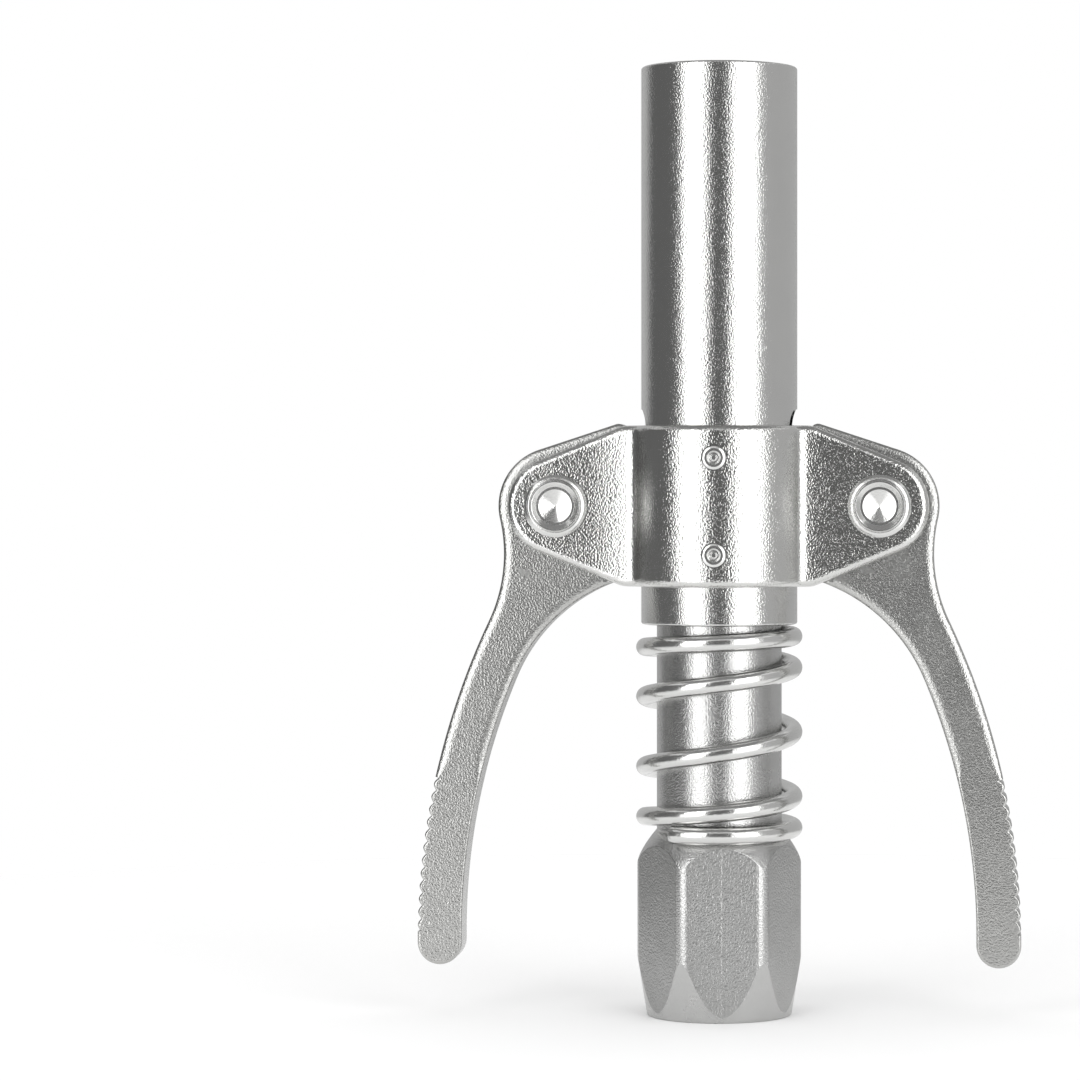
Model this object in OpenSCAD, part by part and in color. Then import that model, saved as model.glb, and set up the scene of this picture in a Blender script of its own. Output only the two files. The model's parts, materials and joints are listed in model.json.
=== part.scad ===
// Quick grease coupler: six gripping jaws in a sliding sleeve, drawn back by two squeeze levers.
// Millimetres, +Z up. The origin is on the axis at the mouth of the hose thread.
// The levers swing in the XZ plane and the formed ends of their rivets face -Y.

/* [Hex body] */
// Width across the spanner flats
hex_af = 15; // [14.6:0.1:15.6]
// Diameter to which the corners of the hexagon are turned
hex_turned_d = 16.8; // [16.2:0.1:17.2]
// Diameter of the tapered lower end
hex_end_d = 14.8; // [13.8:0.1:15.2]
// Height of the taper at the lower end
hex_taper_h = 5.4; // [4:0.1:7]
// Height at which the upper cone begins
hex_h = 15.5; // [14:0.1:17]
// Height of the upper cone, where the return spring sits
hex_cone_h = 3.5; // [3:0.1:4]
// Turn of the flats against the plane of the levers, in degrees
hex_turn = 6; // [0:1:59]
// Diameter of the round body
core_d = 12.8; // [12.4:0.1:13.4]
// Core diameter of the hose thread
thread_d = 8.92; // [8.2:0.02:9.4]
// Usable length of the hose thread
thread_l = 9.5; // [8.5:0.1:10.5]
// Chamfer at the mouth of the hose thread
thread_lead = 0.6; // [0.3:0.1:1]
// Diameter of the grease passage
passage_d = 2.4; // [1.8:0.1:2.8]

/* [Sleeve] */
// Height of the lower edge of the sleeve above the hose end
sleeve_z = 40; // [38.5:0.5:42]
// Length of the sleeve
sleeve_l = 57; // [54:0.5:60]
// Wall of the sleeve
sleeve_wall = 1.5; // [1.3:0.1:1.8]
// Radial play of the sleeve on the round body
slide_gap = 0.1; // [0.05:0.01:0.15]
// Wall left at the mouth
mouth_wall = 1; // [0.8:0.05:1.1]
// Depth of the wide bore at the mouth
mouth_depth = 6.5; // [6.2:0.1:6.6]
// Width of the side slots for the lever toes
slot_w = 6.4; // [5.4:0.1:7]
// Corner radius of the side slots
slot_r = 1.9; // [1:0.1:2.4]
// Slot above the pivots
slot_above = 9.9; // [9.5:0.1:12]
// Slot below the pivots
slot_below = 5.6; // [5.2:0.1:7]
// Chamfer on the edges of the sleeve
sleeve_edge = 0.2; // [0.1:0.05:0.4]

/* [Yoke] */
// Thickness of the yoke sheet
sheet_t = 1.2; // [1:0.1:1.4]
// Height of the yoke band
yoke_h = 16.4; // [15.5:0.1:17.5]
// Height of the pivots above the lower edge of the sleeve
pivot_rise = 12.1; // [11.5:0.1:13]
// Distance of the pivots from the wall of the sleeve
pivot_out = 8.5; // [8:0.1:9.2]
// Radius of the ears round the pivots
ear_r = 5; // [4.6:0.1:5.4]
// Outer radius of the bend between band and ear
bend_r = 1.8; // [1.2:0.1:2.2]
// Radius of the corners between band and ear
yoke_corner_r = 2.5; // [1.5:0.1:3.5]
// Play between the band and the sleeve
band_gap = 0.05; // [0.02:0.01:0.1]
// Diameter of the pins that hold the band on the sleeve
band_pin_d = 2.5; // [2:0.1:3]
// Height between the two pins of a band
band_pin_pitch = 9.8; // [8:0.1:11]
// Crown of the pins over the band
band_pin_crown = 0.15; // [0.1:0.05:0.3]
// Bevel round the heads of the pins
band_pin_bevel = 0.25; // [0.15:0.05:0.4]
// Diameter of the dip in the heads of the pins
band_pin_dip_d = 0.9; // [0.6:0.1:1.2]
// Depth of that dip
band_pin_dip = 0.08; // [0.05:0.01:0.12]
// How far the pins end short of the bore of the sleeve
band_pin_short = 0.2; // [0.1:0.05:0.4]

/* [Levers] */
// Thickness of the levers
lever_t = 4.5; // [4:0.1:5]
// Play between lever and ear on each side
lever_gap = 0.1; // [0.05:0.01:0.2]
// Turn of the levers when they are squeezed, in degrees
squeeze = 22; // [18:1:23]
// Radius of the lever head
head_r = 6.05; // [5.6:0.05:6.4]
// Radius of the toe tip
toe_r = 1.6; // [1.4:0.1:1.8]
// Depth of the centre of the toe tip under the surface of the round body
toe_bite = 1.2; // [1:0.1:1.4]
// Play of the toe in its pocket
toe_gap = 0.12; // [0.08:0.01:0.2]
// Room between the toe and the floor of its pocket
toe_room = 0.3; // [0.2:0.05:0.5]
// Distance from the pivot to the inner edge of the lever
shoulder_in = 7.1; // [6.7:0.1:7.3]
// Height of the shoulder above the pivot
shoulder_rise = 8.4; // [8:0.1:8.8]
// Corner radius of the shoulder
shoulder_r = 0.8; // [0.4:0.1:1.2]
// How far the centre of the grip tip lies outside the pivot
tip_out = 12.08; // [11.8:0.02:14]
// How far the centre of the grip tip lies below the pivot
tip_drop = 44.7; // [42:0.1:46]
// Radius of the grip tip
tip_r = 2.28; // [2:0.02:2.6]
// Radius of the outer edge of the grip
grip_outer_r = 76.4; // [70:0.2:82]
// Lean of the outer edge at the tip, in degrees
grip_outer_lean = 0.23; // [0:0.01:1]
// Radius of the inner edge of the grip
grip_inner_r = 67.5; // [62:0.5:70]
// Lean of the inner edge at the tip, in degrees
grip_inner_lean = 0.66; // [0.3:0.01:1.5]
// Radius of the throat under the lever head
throat_r = 17.75; // [16:0.25:19]
// Angle of the inner edge at which the throat begins, in degrees
throat_from = 22.95; // [22:0.05:24]
// Radius of the hollow between head and grip
neck_r = 16; // [12:0.5:20]
// Number of teeth on the grip
teeth = 12; // [8:1:13]
// Spacing of the teeth
tooth_pitch = 1.33; // [1.1:0.01:1.5]
// Depth of the teeth
tooth_depth = 0.35; // [0.2:0.05:0.5]
// Plain edge between the grip tip and the first tooth
tooth_start = 1.1; // [0.6:0.1:2]

/* [Rivets] */
// Diameter of the rivet shank
rivet_d = 5; // [4:0.1:5.6]
// Radial play of the lever on its rivet
rivet_gap = 0.05; // [0.02:0.01:0.1]
// Diameter of the formed end
rivet_end_d = 6.4; // [6:0.1:7]
// Height of the formed end
rivet_end_h = 0.95; // [0.7:0.05:1.3]
// Diameter of the dimple in the formed end
rivet_dimple_d = 3.5; // [3:0.1:3.8]
// Depth of the dimple
rivet_dimple_h = 0.7; // [0.4:0.1:0.9]
// Depth of the upright wall of the dimple
rivet_dimple_wall = 0.35; // [0.2:0.05:0.4]
// Bevel round the formed end
rivet_end_bevel = 0.48; // [0.3:0.02:0.6]
// Bevel round the dimple
rivet_dimple_bevel = 0.2; // [0.1:0.05:0.3]
// Diameter of the domed head
rivet_head_d = 8.8; // [8:0.1:9.4]
// Height of the domed head
rivet_head_h = 1.9; // [1.5:0.1:2.3]

/* [Return spring] */
// Diameter of the spring wire
wire_d = 1.85; // [1.6:0.05:1.9]
// Play between the spring and the round body
spring_gap = 0.28; // [0.2:0.01:0.35]
// Number of turns
spring_turns = 4.7; // [4.6:0.05:5]
// Turns at each end over which the coils close up
spring_ramp = 1.9; // [1.7:0.05:1.95]
// Direction of the lower wire end, in degrees
spring_start = 235; // [0:5:359]

/* [Jaws] */
// Length of the jaws
jaw_l = 18.7; // [18:0.1:20]
// Gap between two jaws when they are closed
jaw_split = 0.2; // [0.15:0.01:0.3]
// Radial play of the closed jaws in the sleeve
jaw_gap = 0.2; // [0.15:0.01:0.3]
// Diameter of the front land
land_d = 12.1; // [11.8:0.1:12.4]
// Height of the front land
land_h = 2.8; // [2.2:0.1:3.2]
// Diameter behind the land
jaw_neck_d = 11.7; // [11.2:0.1:12]
// Diameter of the jaw body
jaw_body_d = 11.2; // [10.8:0.1:11.6]
// Distance of the cam from the front
cam_back = 6.6; // [6.4:0.1:7.4]
// Height of the cam
cam_h = 2; // [1.5:0.1:2.5]
// Bevel beside the land and the cam
jaw_bevel = 0.4; // [0.3:0.05:0.6]
// Pitch of the fine rings turned behind the land
waist_ring_pitch = 0.27; // [0.2:0.01:0.4]
// Depth of those rings
waist_ring_depth = 0.1; // [0.05:0.01:0.12]
// Diameter of the gripping lips
lip_d = 5.4; // [5.2:0.05:5.6]
// Thickness of the gripping lips
lip_t = 0.5; // [0.4:0.05:0.8]
// Diameter of the front funnel
funnel_d = 11.2; // [10.8:0.1:12]
// Depth of the front funnel
funnel_h = 1; // [0.8:0.05:1.3]
// Chamfer between the lips and the funnel
lip_lead = 0.2; // [0.1:0.05:0.4]
// Bore of the jaws round the seal
jaw_bore_d = 7.1; // [6.9:0.1:7.4]
// Height of the hook that grips the neck of the body
hook_h = 5.3; // [4.8:0.1:5.8]
// Diameter of the neck that holds the jaws
neck_d = 7.2; // [6.8:0.1:7.4]
// Diameter of the collar on the neck
collar_d = 9; // [8.6:0.1:9.2]
// Height of the collar
collar_h = 2; // [1.6:0.1:2.4]
// Radial play of the jaws on the neck
neck_gap = 0.2; // [0.15:0.01:0.3]
// Play of the jaws along the neck
heel_gap = 0.3; // [0.25:0.01:0.4]
// Wire of the ring round the jaws
ring_wire_d = 0.9; // [0.7:0.05:1]
// Height of the ring above the heel of the jaws
ring_rise = 1.9; // [1.6:0.1:2.4]
// Play of the ring in its groove
ring_gap = 0.1; // [0.08:0.01:0.15]
// Floor diameter of the ring groove
ring_floor_d = 9.5; // [9.4:0.1:9.8]

/* [Seal] */
// Diameter of the seal
seal_d = 5.8; // [5.6:0.1:6.2]
// Length of the seal
seal_l = 3; // [2.6:0.1:3.4]
// Hole through the seal
seal_hole_d = 2.2; // [1.8:0.1:2.4]
// Gap between seal and lips
seal_gap = 0.3; // [0.2:0.05:0.4]
// Thickness of the flange behind the seal
flange_t = 1.2; // [1:0.1:1.4]
// Diameter of the stem that guides the seal
stem_d = 3; // [2.8:0.1:3.2]
// Bore of the stem
stem_bore_d = 1.8; // [1.4:0.1:2]
// Length of the stem below the flange
stem_l = 8; // [7:0.1:8.4]
// Radial play of the stem
stem_gap = 0.05; // [0.03:0.01:0.1]
// Depth of the guide bore below the collar
guide_l = 8; // [7.6:0.1:9]
// Wire of the seal spring
seal_wire_d = 0.5; // [0.4:0.05:0.55]
// Turns of the seal spring
seal_turns = 3.5; // [3:0.25:4]
// Play between the seal spring and the stem
seal_spring_gap = 0.55; // [0.3:0.05:0.6]

/* [Valve] */
// Thickness of the valve seat
seat_t = 2; // [1.6:0.1:2.4]
// Hole through the valve seat
seat_hole_d = 2.6; // [2:0.1:2.7]
// Height of the cone on which the ball sits
seat_cone_h = 0.6; // [0.4:0.05:0.8]
// Step between the hose thread and the bore of the valve seat
seat_step = 0.25; // [0.1:0.05:0.5]
// Play of the seat in its bore
seat_gap = 0.02; // [0.01:0.01:0.05]
// Diameter of the valve ball
ball_d = 4; // [3.8:0.05:4.2]
// Gap between ball and seat
ball_gap = 0.03; // [0.02:0.01:0.05]
// Diameter of the valve chamber
chamber_d = 5.2; // [5:0.1:5.6]
// Length of the valve chamber
chamber_l = 10.5; // [9.5:0.1:12]
// Wire of the ball spring
ball_wire_d = 0.4; // [0.3:0.05:0.45]
// Mean diameter of the ball spring
ball_spring_d = 3.2; // [3:0.1:3.3]
// Turns of the ball spring
ball_turns = 6; // [5:0.5:7]

/* [Hidden] */
$fn = 64;

past = 1;                       // how far a cut runs past a face
arc_tol = 0.01;                 // how far the chords of an arc may lie inside it
wire_sides = 10;                // sides of the return spring's wire
wire_steps = 20;                // wire sections in a turn of the return spring
fine_sides = 6;                 // sides of the wire of the two inner springs
fine_steps = 14;                // wire sections in a turn of the inner springs
fine_ramp = 0.9;                // turns at each end over which the inner springs close up
fine_seat = 0.03;               // play at the ends of the inner springs
jaws = 6;
jaw_angle = 360 / jaws;

// Round body and sleeve
core_r = core_d / 2;
bore_r = core_r + slide_gap;
sleeve_r = bore_r + sleeve_wall;
mouth_r = sleeve_r - mouth_wall;
front_z = sleeve_z + sleeve_l;

// Yoke and pivots
pivot_x = sleeve_r + pivot_out;
pivot_z = sleeve_z + pivot_rise;
band_in_r = sleeve_r + band_gap;
band_out_r = band_in_r + sheet_t;
ear_in = lever_t / 2 + lever_gap;
ear_out = ear_in + sheet_t;
bend_y = ear_out + bend_r;
bend_x = sqrt(pow(band_out_r + bend_r, 2) - pow(bend_y, 2));
bend_from = atan2(bend_y, bend_x);
pin_inner = bore_r + band_pin_short;

// Levers
rest_drop = squeeze / 2;
toe_x = core_r - toe_bite;
toe_arm = pivot_x - toe_x;
travel = 2 * toe_arm * tan(rest_drop);
toe_z = pivot_z - travel / 2;
grip_tip = [tip_out, -tip_drop];
grip_outer_c = grip_tip + (grip_outer_r - tip_r) * dir(180 - grip_outer_lean);
grip_inner_c = grip_tip + (grip_inner_r + tip_r) * dir(180 - grip_inner_lean);
throat_c = grip_inner_c + (grip_inner_r - throat_r) * dir(throat_from);
neck_c = touch_centre(grip_outer_c, grip_outer_r, head_r, neck_r);
neck_from = angle_of(neck_c - grip_outer_c);
head_from = angle_of(neck_c);
shoulder_c = [shoulder_r - shoulder_in, shoulder_rise - shoulder_r];
head_to = angle_of(shoulder_c) - acos((head_r - shoulder_r) / norm(shoulder_c));
throat_corner = 70;             // where the throat meets the back of the head, in degrees

// One tooth as shares of the pitch and of the depth below the edge: root, flank, crest and back
tooth = [[0, 1], [0.15, 0.2], [0.4, 0], [0.8, 0.33]];
tooth_crest = tooth[2][0];

// Return spring
spring_r = core_r + spring_gap + wire_d / 2;
cone_rise = (hex_turned_d / 2 - core_r) / hex_cone_h;
spring_seat = 0.05;             // play at the two seats of the spring
spring_low = hex_h + hex_cone_h + (
    (wire_d / 2 + spring_seat) * sqrt(1 + cone_rise * cone_rise) - (spring_r - core_r)) / cone_rise;
spring_high = sleeve_z - wire_d / 2 - spring_seat;

// Jaws, neck and collar
heel_z = front_z - jaw_l;
core_top = heel_z - heel_gap;
hook_z = heel_z + hook_h;
collar_z = hook_z + heel_gap;
collar_top = collar_z + collar_h;
lip_low = front_z - funnel_h - lip_t;
land_low = front_z - land_h;
cam_high = front_z - cam_back;
cam_low = cam_high - cam_h;
cam_r = bore_r - jaw_gap;
ring_z = heel_z + ring_rise;
ring_r = ring_floor_d / 2 + ring_gap + ring_wire_d / 2;
groove_h = ring_wire_d / 2 + ring_gap;

// Seal
seal_front = lip_low - seal_gap;
seal_back = seal_front - seal_l;
flange_low = seal_back - flange_t;
stem_low = flange_low - stem_l;
seal_spring_r = stem_d / 2 + seal_spring_gap + seal_wire_d / 2;

// Valve
seat_bore_r = thread_d / 2 - seat_step;
seat_top = thread_l + seat_t;
seat_apex = seat_top - seat_cone_h - seat_hole_d / 2;
ball_z = seat_apex + (ball_d / 2 + ball_gap) * sqrt(2);
chamber_top = seat_top + chamber_l;
ball_spring_low = ball_z + fine_seat + sqrt(
    pow((ball_d + ball_wire_d) / 2, 2) - pow(ball_spring_d / 2, 2));
ball_spring_high = chamber_top - ball_wire_d / 2 - fine_seat;

// Unit vector at an angle
function dir(a) = [cos(a), sin(a)];

// Angle of a vector
function angle_of(v) = atan2(v[1], v[0]);

// Points of an arc round c from angle a to angle b, as many as its chords need
function arc(c, r, a, b) =
    let (n = ceil(abs(b - a) / (2 * acos(1 - arc_tol / r))))
    [for (i = [0:n]) c + r * dir(a + (b - a) * i / n)];

// Centre of a circle of radius r that touches the circle round c and the one round the origin
function touch_centre(c, c_r, o_r, r) =
    let (
        d = norm(c),
        along = (pow(d, 2) + pow(o_r + r, 2) - pow(c_r + r, 2)) / (2 * d * (o_r + r))
    )
    (o_r + r) * dir(angle_of(c) + acos(along));

// Height of a coil after u turns: the pitch grows from nothing over the first ramp turns,
// stays even, and falls to nothing over the last ramp turns
function coil_z(u, h, turns, ramp) =
    let (pitch = h / (turns - ramp))
    u < ramp ? pitch * u * u / (2 * ramp)
    : u > turns - ramp ? h - pitch * pow(turns - u, 2) / (2 * ramp)
    : pitch * (u - ramp / 2);

// Climb angle of a coil after u turns
function coil_climb(u, r, h, turns, ramp) =
    atan2(h / (turns - ramp) * min(1, u / ramp, (turns - u) / ramp), 360 * PI / 180 * r);

// Points of one wire section at angle a, climbing at angle c
function wire_ring(a, c, r, z, wire_r, sides) = [
    for (k = [0:sides - 1])
        let (out = wire_r * cos(360 * k / sides), up = wire_r * sin(360 * k / sides))
        [
            (r + out) * cos(a) + up * sin(a) * sin(c),
            (r + out) * sin(a) - up * cos(a) * sin(c),
            z + up * cos(c)
        ]
];

// A wire coil round the Z axis between two centre heights
module coil(r, wire_r, low, high, turns, ramp, start, sides, steps) {
    rings = ceil(turns * steps);
    h = high - low;
    points = [
        for (i = [0:rings])
            let (u = turns * i / rings)
            each wire_ring(start + 360 * u, coil_climb(u, r, h, turns, ramp), r,
                low + coil_z(u, h, turns, ramp), wire_r, sides)
    ];
    walls = [
        for (i = [0:rings - 1], k = [0:sides - 1])
            let (n = (k + 1) % sides, a = i * sides, b = a + sides)
            each [[a + k, b + k, b + n], [a + k, b + n, a + n]]
    ];
    first = [for (k = [0:sides - 1]) k];
    last = [for (k = [sides - 1:-1:0]) rings * sides + k];
    polyhedron(points, concat(walls, [first, last]), convexity = 8);
}

// Turns a shape drawn in XY to stand in XZ, with its thickness centred on y
module stand(thickness, y = 0) {
    translate([0, y + thickness / 2, 0])
        rotate([90, 0, 0])
            linear_extrude(thickness)
                children();
}

// Places a shape drawn round Z on a pivot, so that its +Z points to +Y
module on_pivot(side) {
    translate([side * pivot_x, 0, pivot_z])
        rotate([-90, 0, 0])
            children();
}

// Round body, neck and collar as one turned outline
module turned_outline() {
    polygon([
        [0, hex_h],
        [core_r, hex_h],
        [core_r, core_top],
        [neck_d / 2, core_top],
        [neck_d / 2, collar_z],
        [collar_d / 2, collar_z],
        [collar_d / 2, collar_top],
        [0, collar_top]
    ]);
}

// Envelope to which the hexagon is turned
module hex_outline() {
    polygon([
        [0, 0],
        [hex_end_d / 2, 0],
        [hex_turned_d / 2, hex_taper_h],
        [hex_turned_d / 2, hex_h],
        [core_r, hex_h + hex_cone_h],
        [0, hex_h + hex_cone_h]
    ]);
}

// Hose thread, valve chamber, passage and guide bore
module bore_outline() {
    thread_r = thread_d / 2;
    stem_bore_r = stem_d / 2 + stem_gap;
    polygon([
        [0, -past],
        [thread_r + thread_lead + past, -past],
        [thread_r, thread_lead],
        [thread_r, thread_l],
        [seat_bore_r, thread_l],
        [seat_bore_r, seat_top],
        [chamber_d / 2, seat_top],
        [chamber_d / 2, chamber_top],
        [passage_d / 2, chamber_top],
        [passage_d / 2, collar_top - guide_l],
        [stem_bore_r, collar_top - guide_l],
        [stem_bore_r, collar_top + past],
        [0, collar_top + past]
    ]);
}

// Pocket for a lever toe, flared by the swing of the toe
module toe_pocket() {
    floor_x = toe_x - toe_r - toe_room;
    inner_h = toe_r + toe_gap;
    outer_x = core_r + past;
    outer_h = inner_h + (outer_x - toe_x) * tan(rest_drop);
    translate([0, 0, toe_z])
        stand(slot_w)
            polygon([
                [floor_x, -inner_h],
                [toe_x, -inner_h],
                [outer_x, -outer_h],
                [outer_x, outer_h],
                [toe_x, inner_h],
                [floor_x, inner_h]
            ]);
}

module core_body() {
    color("#8f8f90")
        difference() {
            union() {
                intersection() {
                    rotate(hex_turn)
                        cylinder(d = hex_af / cos(30), h = hex_h + hex_cone_h, $fn = 6);
                    rotate_extrude() hex_outline();
                }
                rotate_extrude() turned_outline();
            }
            rotate_extrude() bore_outline();
            toe_pocket();
            mirror([1, 0, 0]) toe_pocket();
        }
}

module valve_seat() {
    outer_r = seat_bore_r - seat_gap;
    hole_r = seat_hole_d / 2;
    color("#b8a06a")
        rotate_extrude()
            polygon([
                [hole_r, thread_l],
                [outer_r, thread_l],
                [outer_r, seat_top],
                [hole_r + seat_cone_h, seat_top],
                [hole_r, seat_top - seat_cone_h]
            ]);
}

module check_ball() {
    color("#d8d8da")
        translate([0, 0, ball_z])
            sphere(d = ball_d);
}

module ball_spring() {
    color("#c9c9cc")
        coil(ball_spring_d / 2, ball_wire_d / 2, ball_spring_low, ball_spring_high, ball_turns,
            fine_ramp, 0, fine_sides, fine_steps);
}

module return_spring() {
    color("#d4d4d6")
        coil(spring_r, wire_d / 2, spring_low, spring_high, spring_turns,
            spring_ramp, spring_start, wire_sides, wire_steps);
}

// Section of the jaws: the outside from the heel to the front, then the inside back down
module jaw_outline() {
    land_r = land_d / 2;
    body_r = jaw_body_d / 2;
    waist_r = jaw_neck_d / 2;
    bore = jaw_bore_d / 2;
    hook_r = neck_d / 2 + neck_gap;
    collar_room_r = collar_d / 2 + neck_gap;
    lip_r = lip_d / 2;
    floor_r = ring_floor_d / 2;
    waist_low = cam_high + (cam_r - waist_r);
    waist_h = land_low - jaw_bevel - waist_low;
    rings = floor(waist_h / waist_ring_pitch);
    polygon([
        [hook_r, heel_z],
        [body_r, heel_z],
        [body_r, ring_z - groove_h],
        [floor_r, ring_z - groove_h],
        [floor_r, ring_z + groove_h],
        [body_r, ring_z + groove_h],
        [body_r, cam_low - (cam_r - body_r)],
        [cam_r, cam_low],
        [cam_r, cam_high],
        for (i = [0:2 * rings])
            [waist_r - (i % 2) * waist_ring_depth, waist_low + waist_h * i / (2 * rings)],
        [land_r, land_low],
        [land_r, front_z - (land_d - funnel_d) / 2],
        [funnel_d / 2, front_z],
        [lip_r + lip_lead, front_z - funnel_h],
        [lip_r, front_z - funnel_h - lip_lead],
        [lip_r, lip_low],
        [bore, lip_low],
        [bore, collar_top + heel_gap],
        [collar_room_r, collar_top + heel_gap],
        [collar_room_r, hook_z],
        [hook_r, hook_z]
    ]);
}

// One jaw: the sixth part of the turned ring, narrowed by half a split on each side
module jaw(i) {
    half = jaw_angle / 2;
    apex = jaw_split / 2 / sin(half);
    reach = sleeve_r / cos(half);
    color("#a6a6a8")
        intersection() {
            rotate_extrude() jaw_outline();
            rotate(jaw_angle * (i - 1))
                translate([apex, 0, 0])
                    linear_extrude(front_z + past)
                        polygon([[0, 0], reach * dir(-half), reach * dir(half)]);
        }
}

module jaw_ring() {
    color("#6f6f72")
        translate([0, 0, ring_z])
            rotate_extrude()
                translate([ring_r, 0])
                    circle(d = ring_wire_d);
}

module seal() {
    color("#2b2b2c")
        translate([0, 0, seal_back])
            difference() {
                cylinder(d = seal_d, h = seal_l);
                translate([0, 0, -past])
                    cylinder(d = seal_hole_d, h = seal_l + 2 * past);
            }
}

module seal_carrier() {
    color("#98989a")
        rotate_extrude()
            polygon([
                [stem_bore_d / 2, stem_low],
                [stem_d / 2, stem_low],
                [stem_d / 2, flange_low],
                [seal_d / 2, flange_low],
                [seal_d / 2, seal_back],
                [stem_bore_d / 2, seal_back]
            ]);
}

module seal_spring() {
    color("#c9c9cc")
        coil(seal_spring_r, seal_wire_d / 2, collar_top + seal_wire_d / 2 + fine_seat,
            flange_low - seal_wire_d / 2 - fine_seat, seal_turns, fine_ramp, 0, fine_sides, fine_steps);
}

// Wall of the sleeve, with the wide bore at its mouth
module sleeve_outline() {
    polygon([
        [bore_r + sleeve_edge, sleeve_z],
        [sleeve_r - sleeve_edge, sleeve_z],
        [sleeve_r, sleeve_z + sleeve_edge],
        [sleeve_r, front_z - sleeve_edge],
        [sleeve_r - sleeve_edge, front_z],
        [mouth_r + sleeve_edge, front_z],
        [mouth_r, front_z - sleeve_edge],
        [mouth_r, front_z - mouth_depth + (mouth_r - bore_r)],
        [bore_r, front_z - mouth_depth],
        [bore_r, sleeve_z + sleeve_edge]
    ]);
}

// Rounded window of a side slot, drawn across the axis and up
module slot_outline() {
    half = slot_w / 2;
    low = -slot_below;
    polygon(concat(
        arc([half - slot_r, slot_above - slot_r], slot_r, 0, 90),
        arc([slot_r - half, slot_above - slot_r], slot_r, 90, 180),
        arc([slot_r - half, low + slot_r], slot_r, 180, 270),
        arc([half - slot_r, low + slot_r], slot_r, 270, 360)
    ));
}

// Places a shape drawn round Z on the four band pins, so that its +Z points outwards
module at_band_pins() {
    for (side = [-1, 1], step = [-1, 1])
        translate([0, 0, pivot_z + step * band_pin_pitch / 2])
            rotate([-90 * side, 0, 0])
                children();
}

module sleeve() {
    color("#b4b4b5")
        difference() {
            rotate_extrude() sleeve_outline();
            translate([-sleeve_r - past, 0, pivot_z])
                rotate([90, 0, 90])
                    linear_extrude(2 * (sleeve_r + past))
                        slot_outline();
            at_band_pins()
                cylinder(d = band_pin_d, h = sleeve_r + past);
        }
}

// Front view of a band with its two ears, tapering to the pivots
module yoke_front_view() {
    corner = [bend_x, yoke_h / 2];
    to_pivot = corner - [pivot_x, 0];
    tangent = angle_of(to_pivot) - acos(ear_r / norm(to_pivot));
    c = corner - yoke_corner_r * (dir(tangent) + dir(90)) / (1 + sin(tangent));
    polygon(concat(
        arc([pivot_x, 0], ear_r, -tangent, tangent),
        arc(c, yoke_corner_r, tangent, 90),
        arc([-c[0], c[1]], yoke_corner_r, 90, 180 - tangent),
        arc([-pivot_x, 0], ear_r, 180 - tangent, 180 + tangent),
        arc(-c, yoke_corner_r, 180 + tangent, 270),
        arc([c[0], -c[1]], yoke_corner_r, 270, 360 - tangent)
    ));
}

// Edge of the sheet seen from above, from the right ear over the band to the left ear:
// ear_y is the face of the ear, band_r the face of the band and fold_r the radius of the bend
function sheet_edge(ear_y, band_r, fold_r) =
    let (
        ear_end = pivot_x + ear_r + past,
        bend_c = [bend_x, -bend_y]
    )
    concat(
        [[ear_end, -ear_y]],
        arc(bend_c, fold_r, 90, 180 - bend_from),
        arc([0, 0], band_r, -bend_from, bend_from - 180),
        arc([-bend_x, -bend_y], fold_r, bend_from, 90),
        [[-ear_end, -ear_y]]
    );

// Sheet of a band before its edges are cut: half ring, two bends and two ears
module yoke_sheet() {
    outer = sheet_edge(ear_out, band_out_r, bend_r);
    inner = sheet_edge(ear_in, band_in_r, bend_r + sheet_t);
    linear_extrude(yoke_h + 2 * past)
        polygon(concat(outer, [for (i = [len(inner) - 1:-1:0]) inner[i]]));
}

// Front half of the yoke, holed for the rivets and the band pins
module yoke_half() {
    color("#c2c2c3")
        difference() {
            intersection() {
                translate([0, 0, pivot_z - yoke_h / 2 - past])
                    yoke_sheet();
                translate([0, 0, pivot_z])
                    stand(2 * (band_out_r + past))
                        yoke_front_view();
            }
            for (side = [-1, 1])
                on_pivot(side)
                    cylinder(d = rivet_d, h = 2 * ear_out + 2 * past, center = true);
            at_band_pins()
                cylinder(d = band_pin_d, h = band_out_r + past);
        }
}

module yoke_front() {
    yoke_half();
}

module yoke_rear() {
    mirror([0, 1, 0]) yoke_half();
}

// Four pins with a low crown, set in the sleeve and upset over the bands
module yoke_pins() {
    pin_r = band_pin_d / 2;
    edge = sqrt(pow(band_out_r, 2) - pow(pin_r, 2));
    top = band_out_r + band_pin_crown;
    color("#aeaeb0")
        at_band_pins()
            rotate_extrude()
                polygon([
                    [0, pin_inner],
                    [pin_r, pin_inner],
                    [pin_r, edge],
                    [pin_r - band_pin_bevel, top],
                    [band_pin_dip_d / 2, top],
                    [0, top - band_pin_dip]
                ]);
}

// Outer edge of the grip with its teeth, from the tip upwards
function toothed_edge() =
    let (
        step = tooth_pitch / grip_outer_r * 180 / PI,
        first = -grip_outer_lean + tooth_start / grip_outer_r * 180 / PI
    )
    [
        for (i = [0:teeth - 1], p = tooth)
            grip_outer_c + (grip_outer_r - tooth_depth * p[1]) * dir(first + step * (i + p[0])),
        each arc(grip_outer_c, grip_outer_r, first + step * (teeth + tooth_crest), neck_from)
    ];

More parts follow.
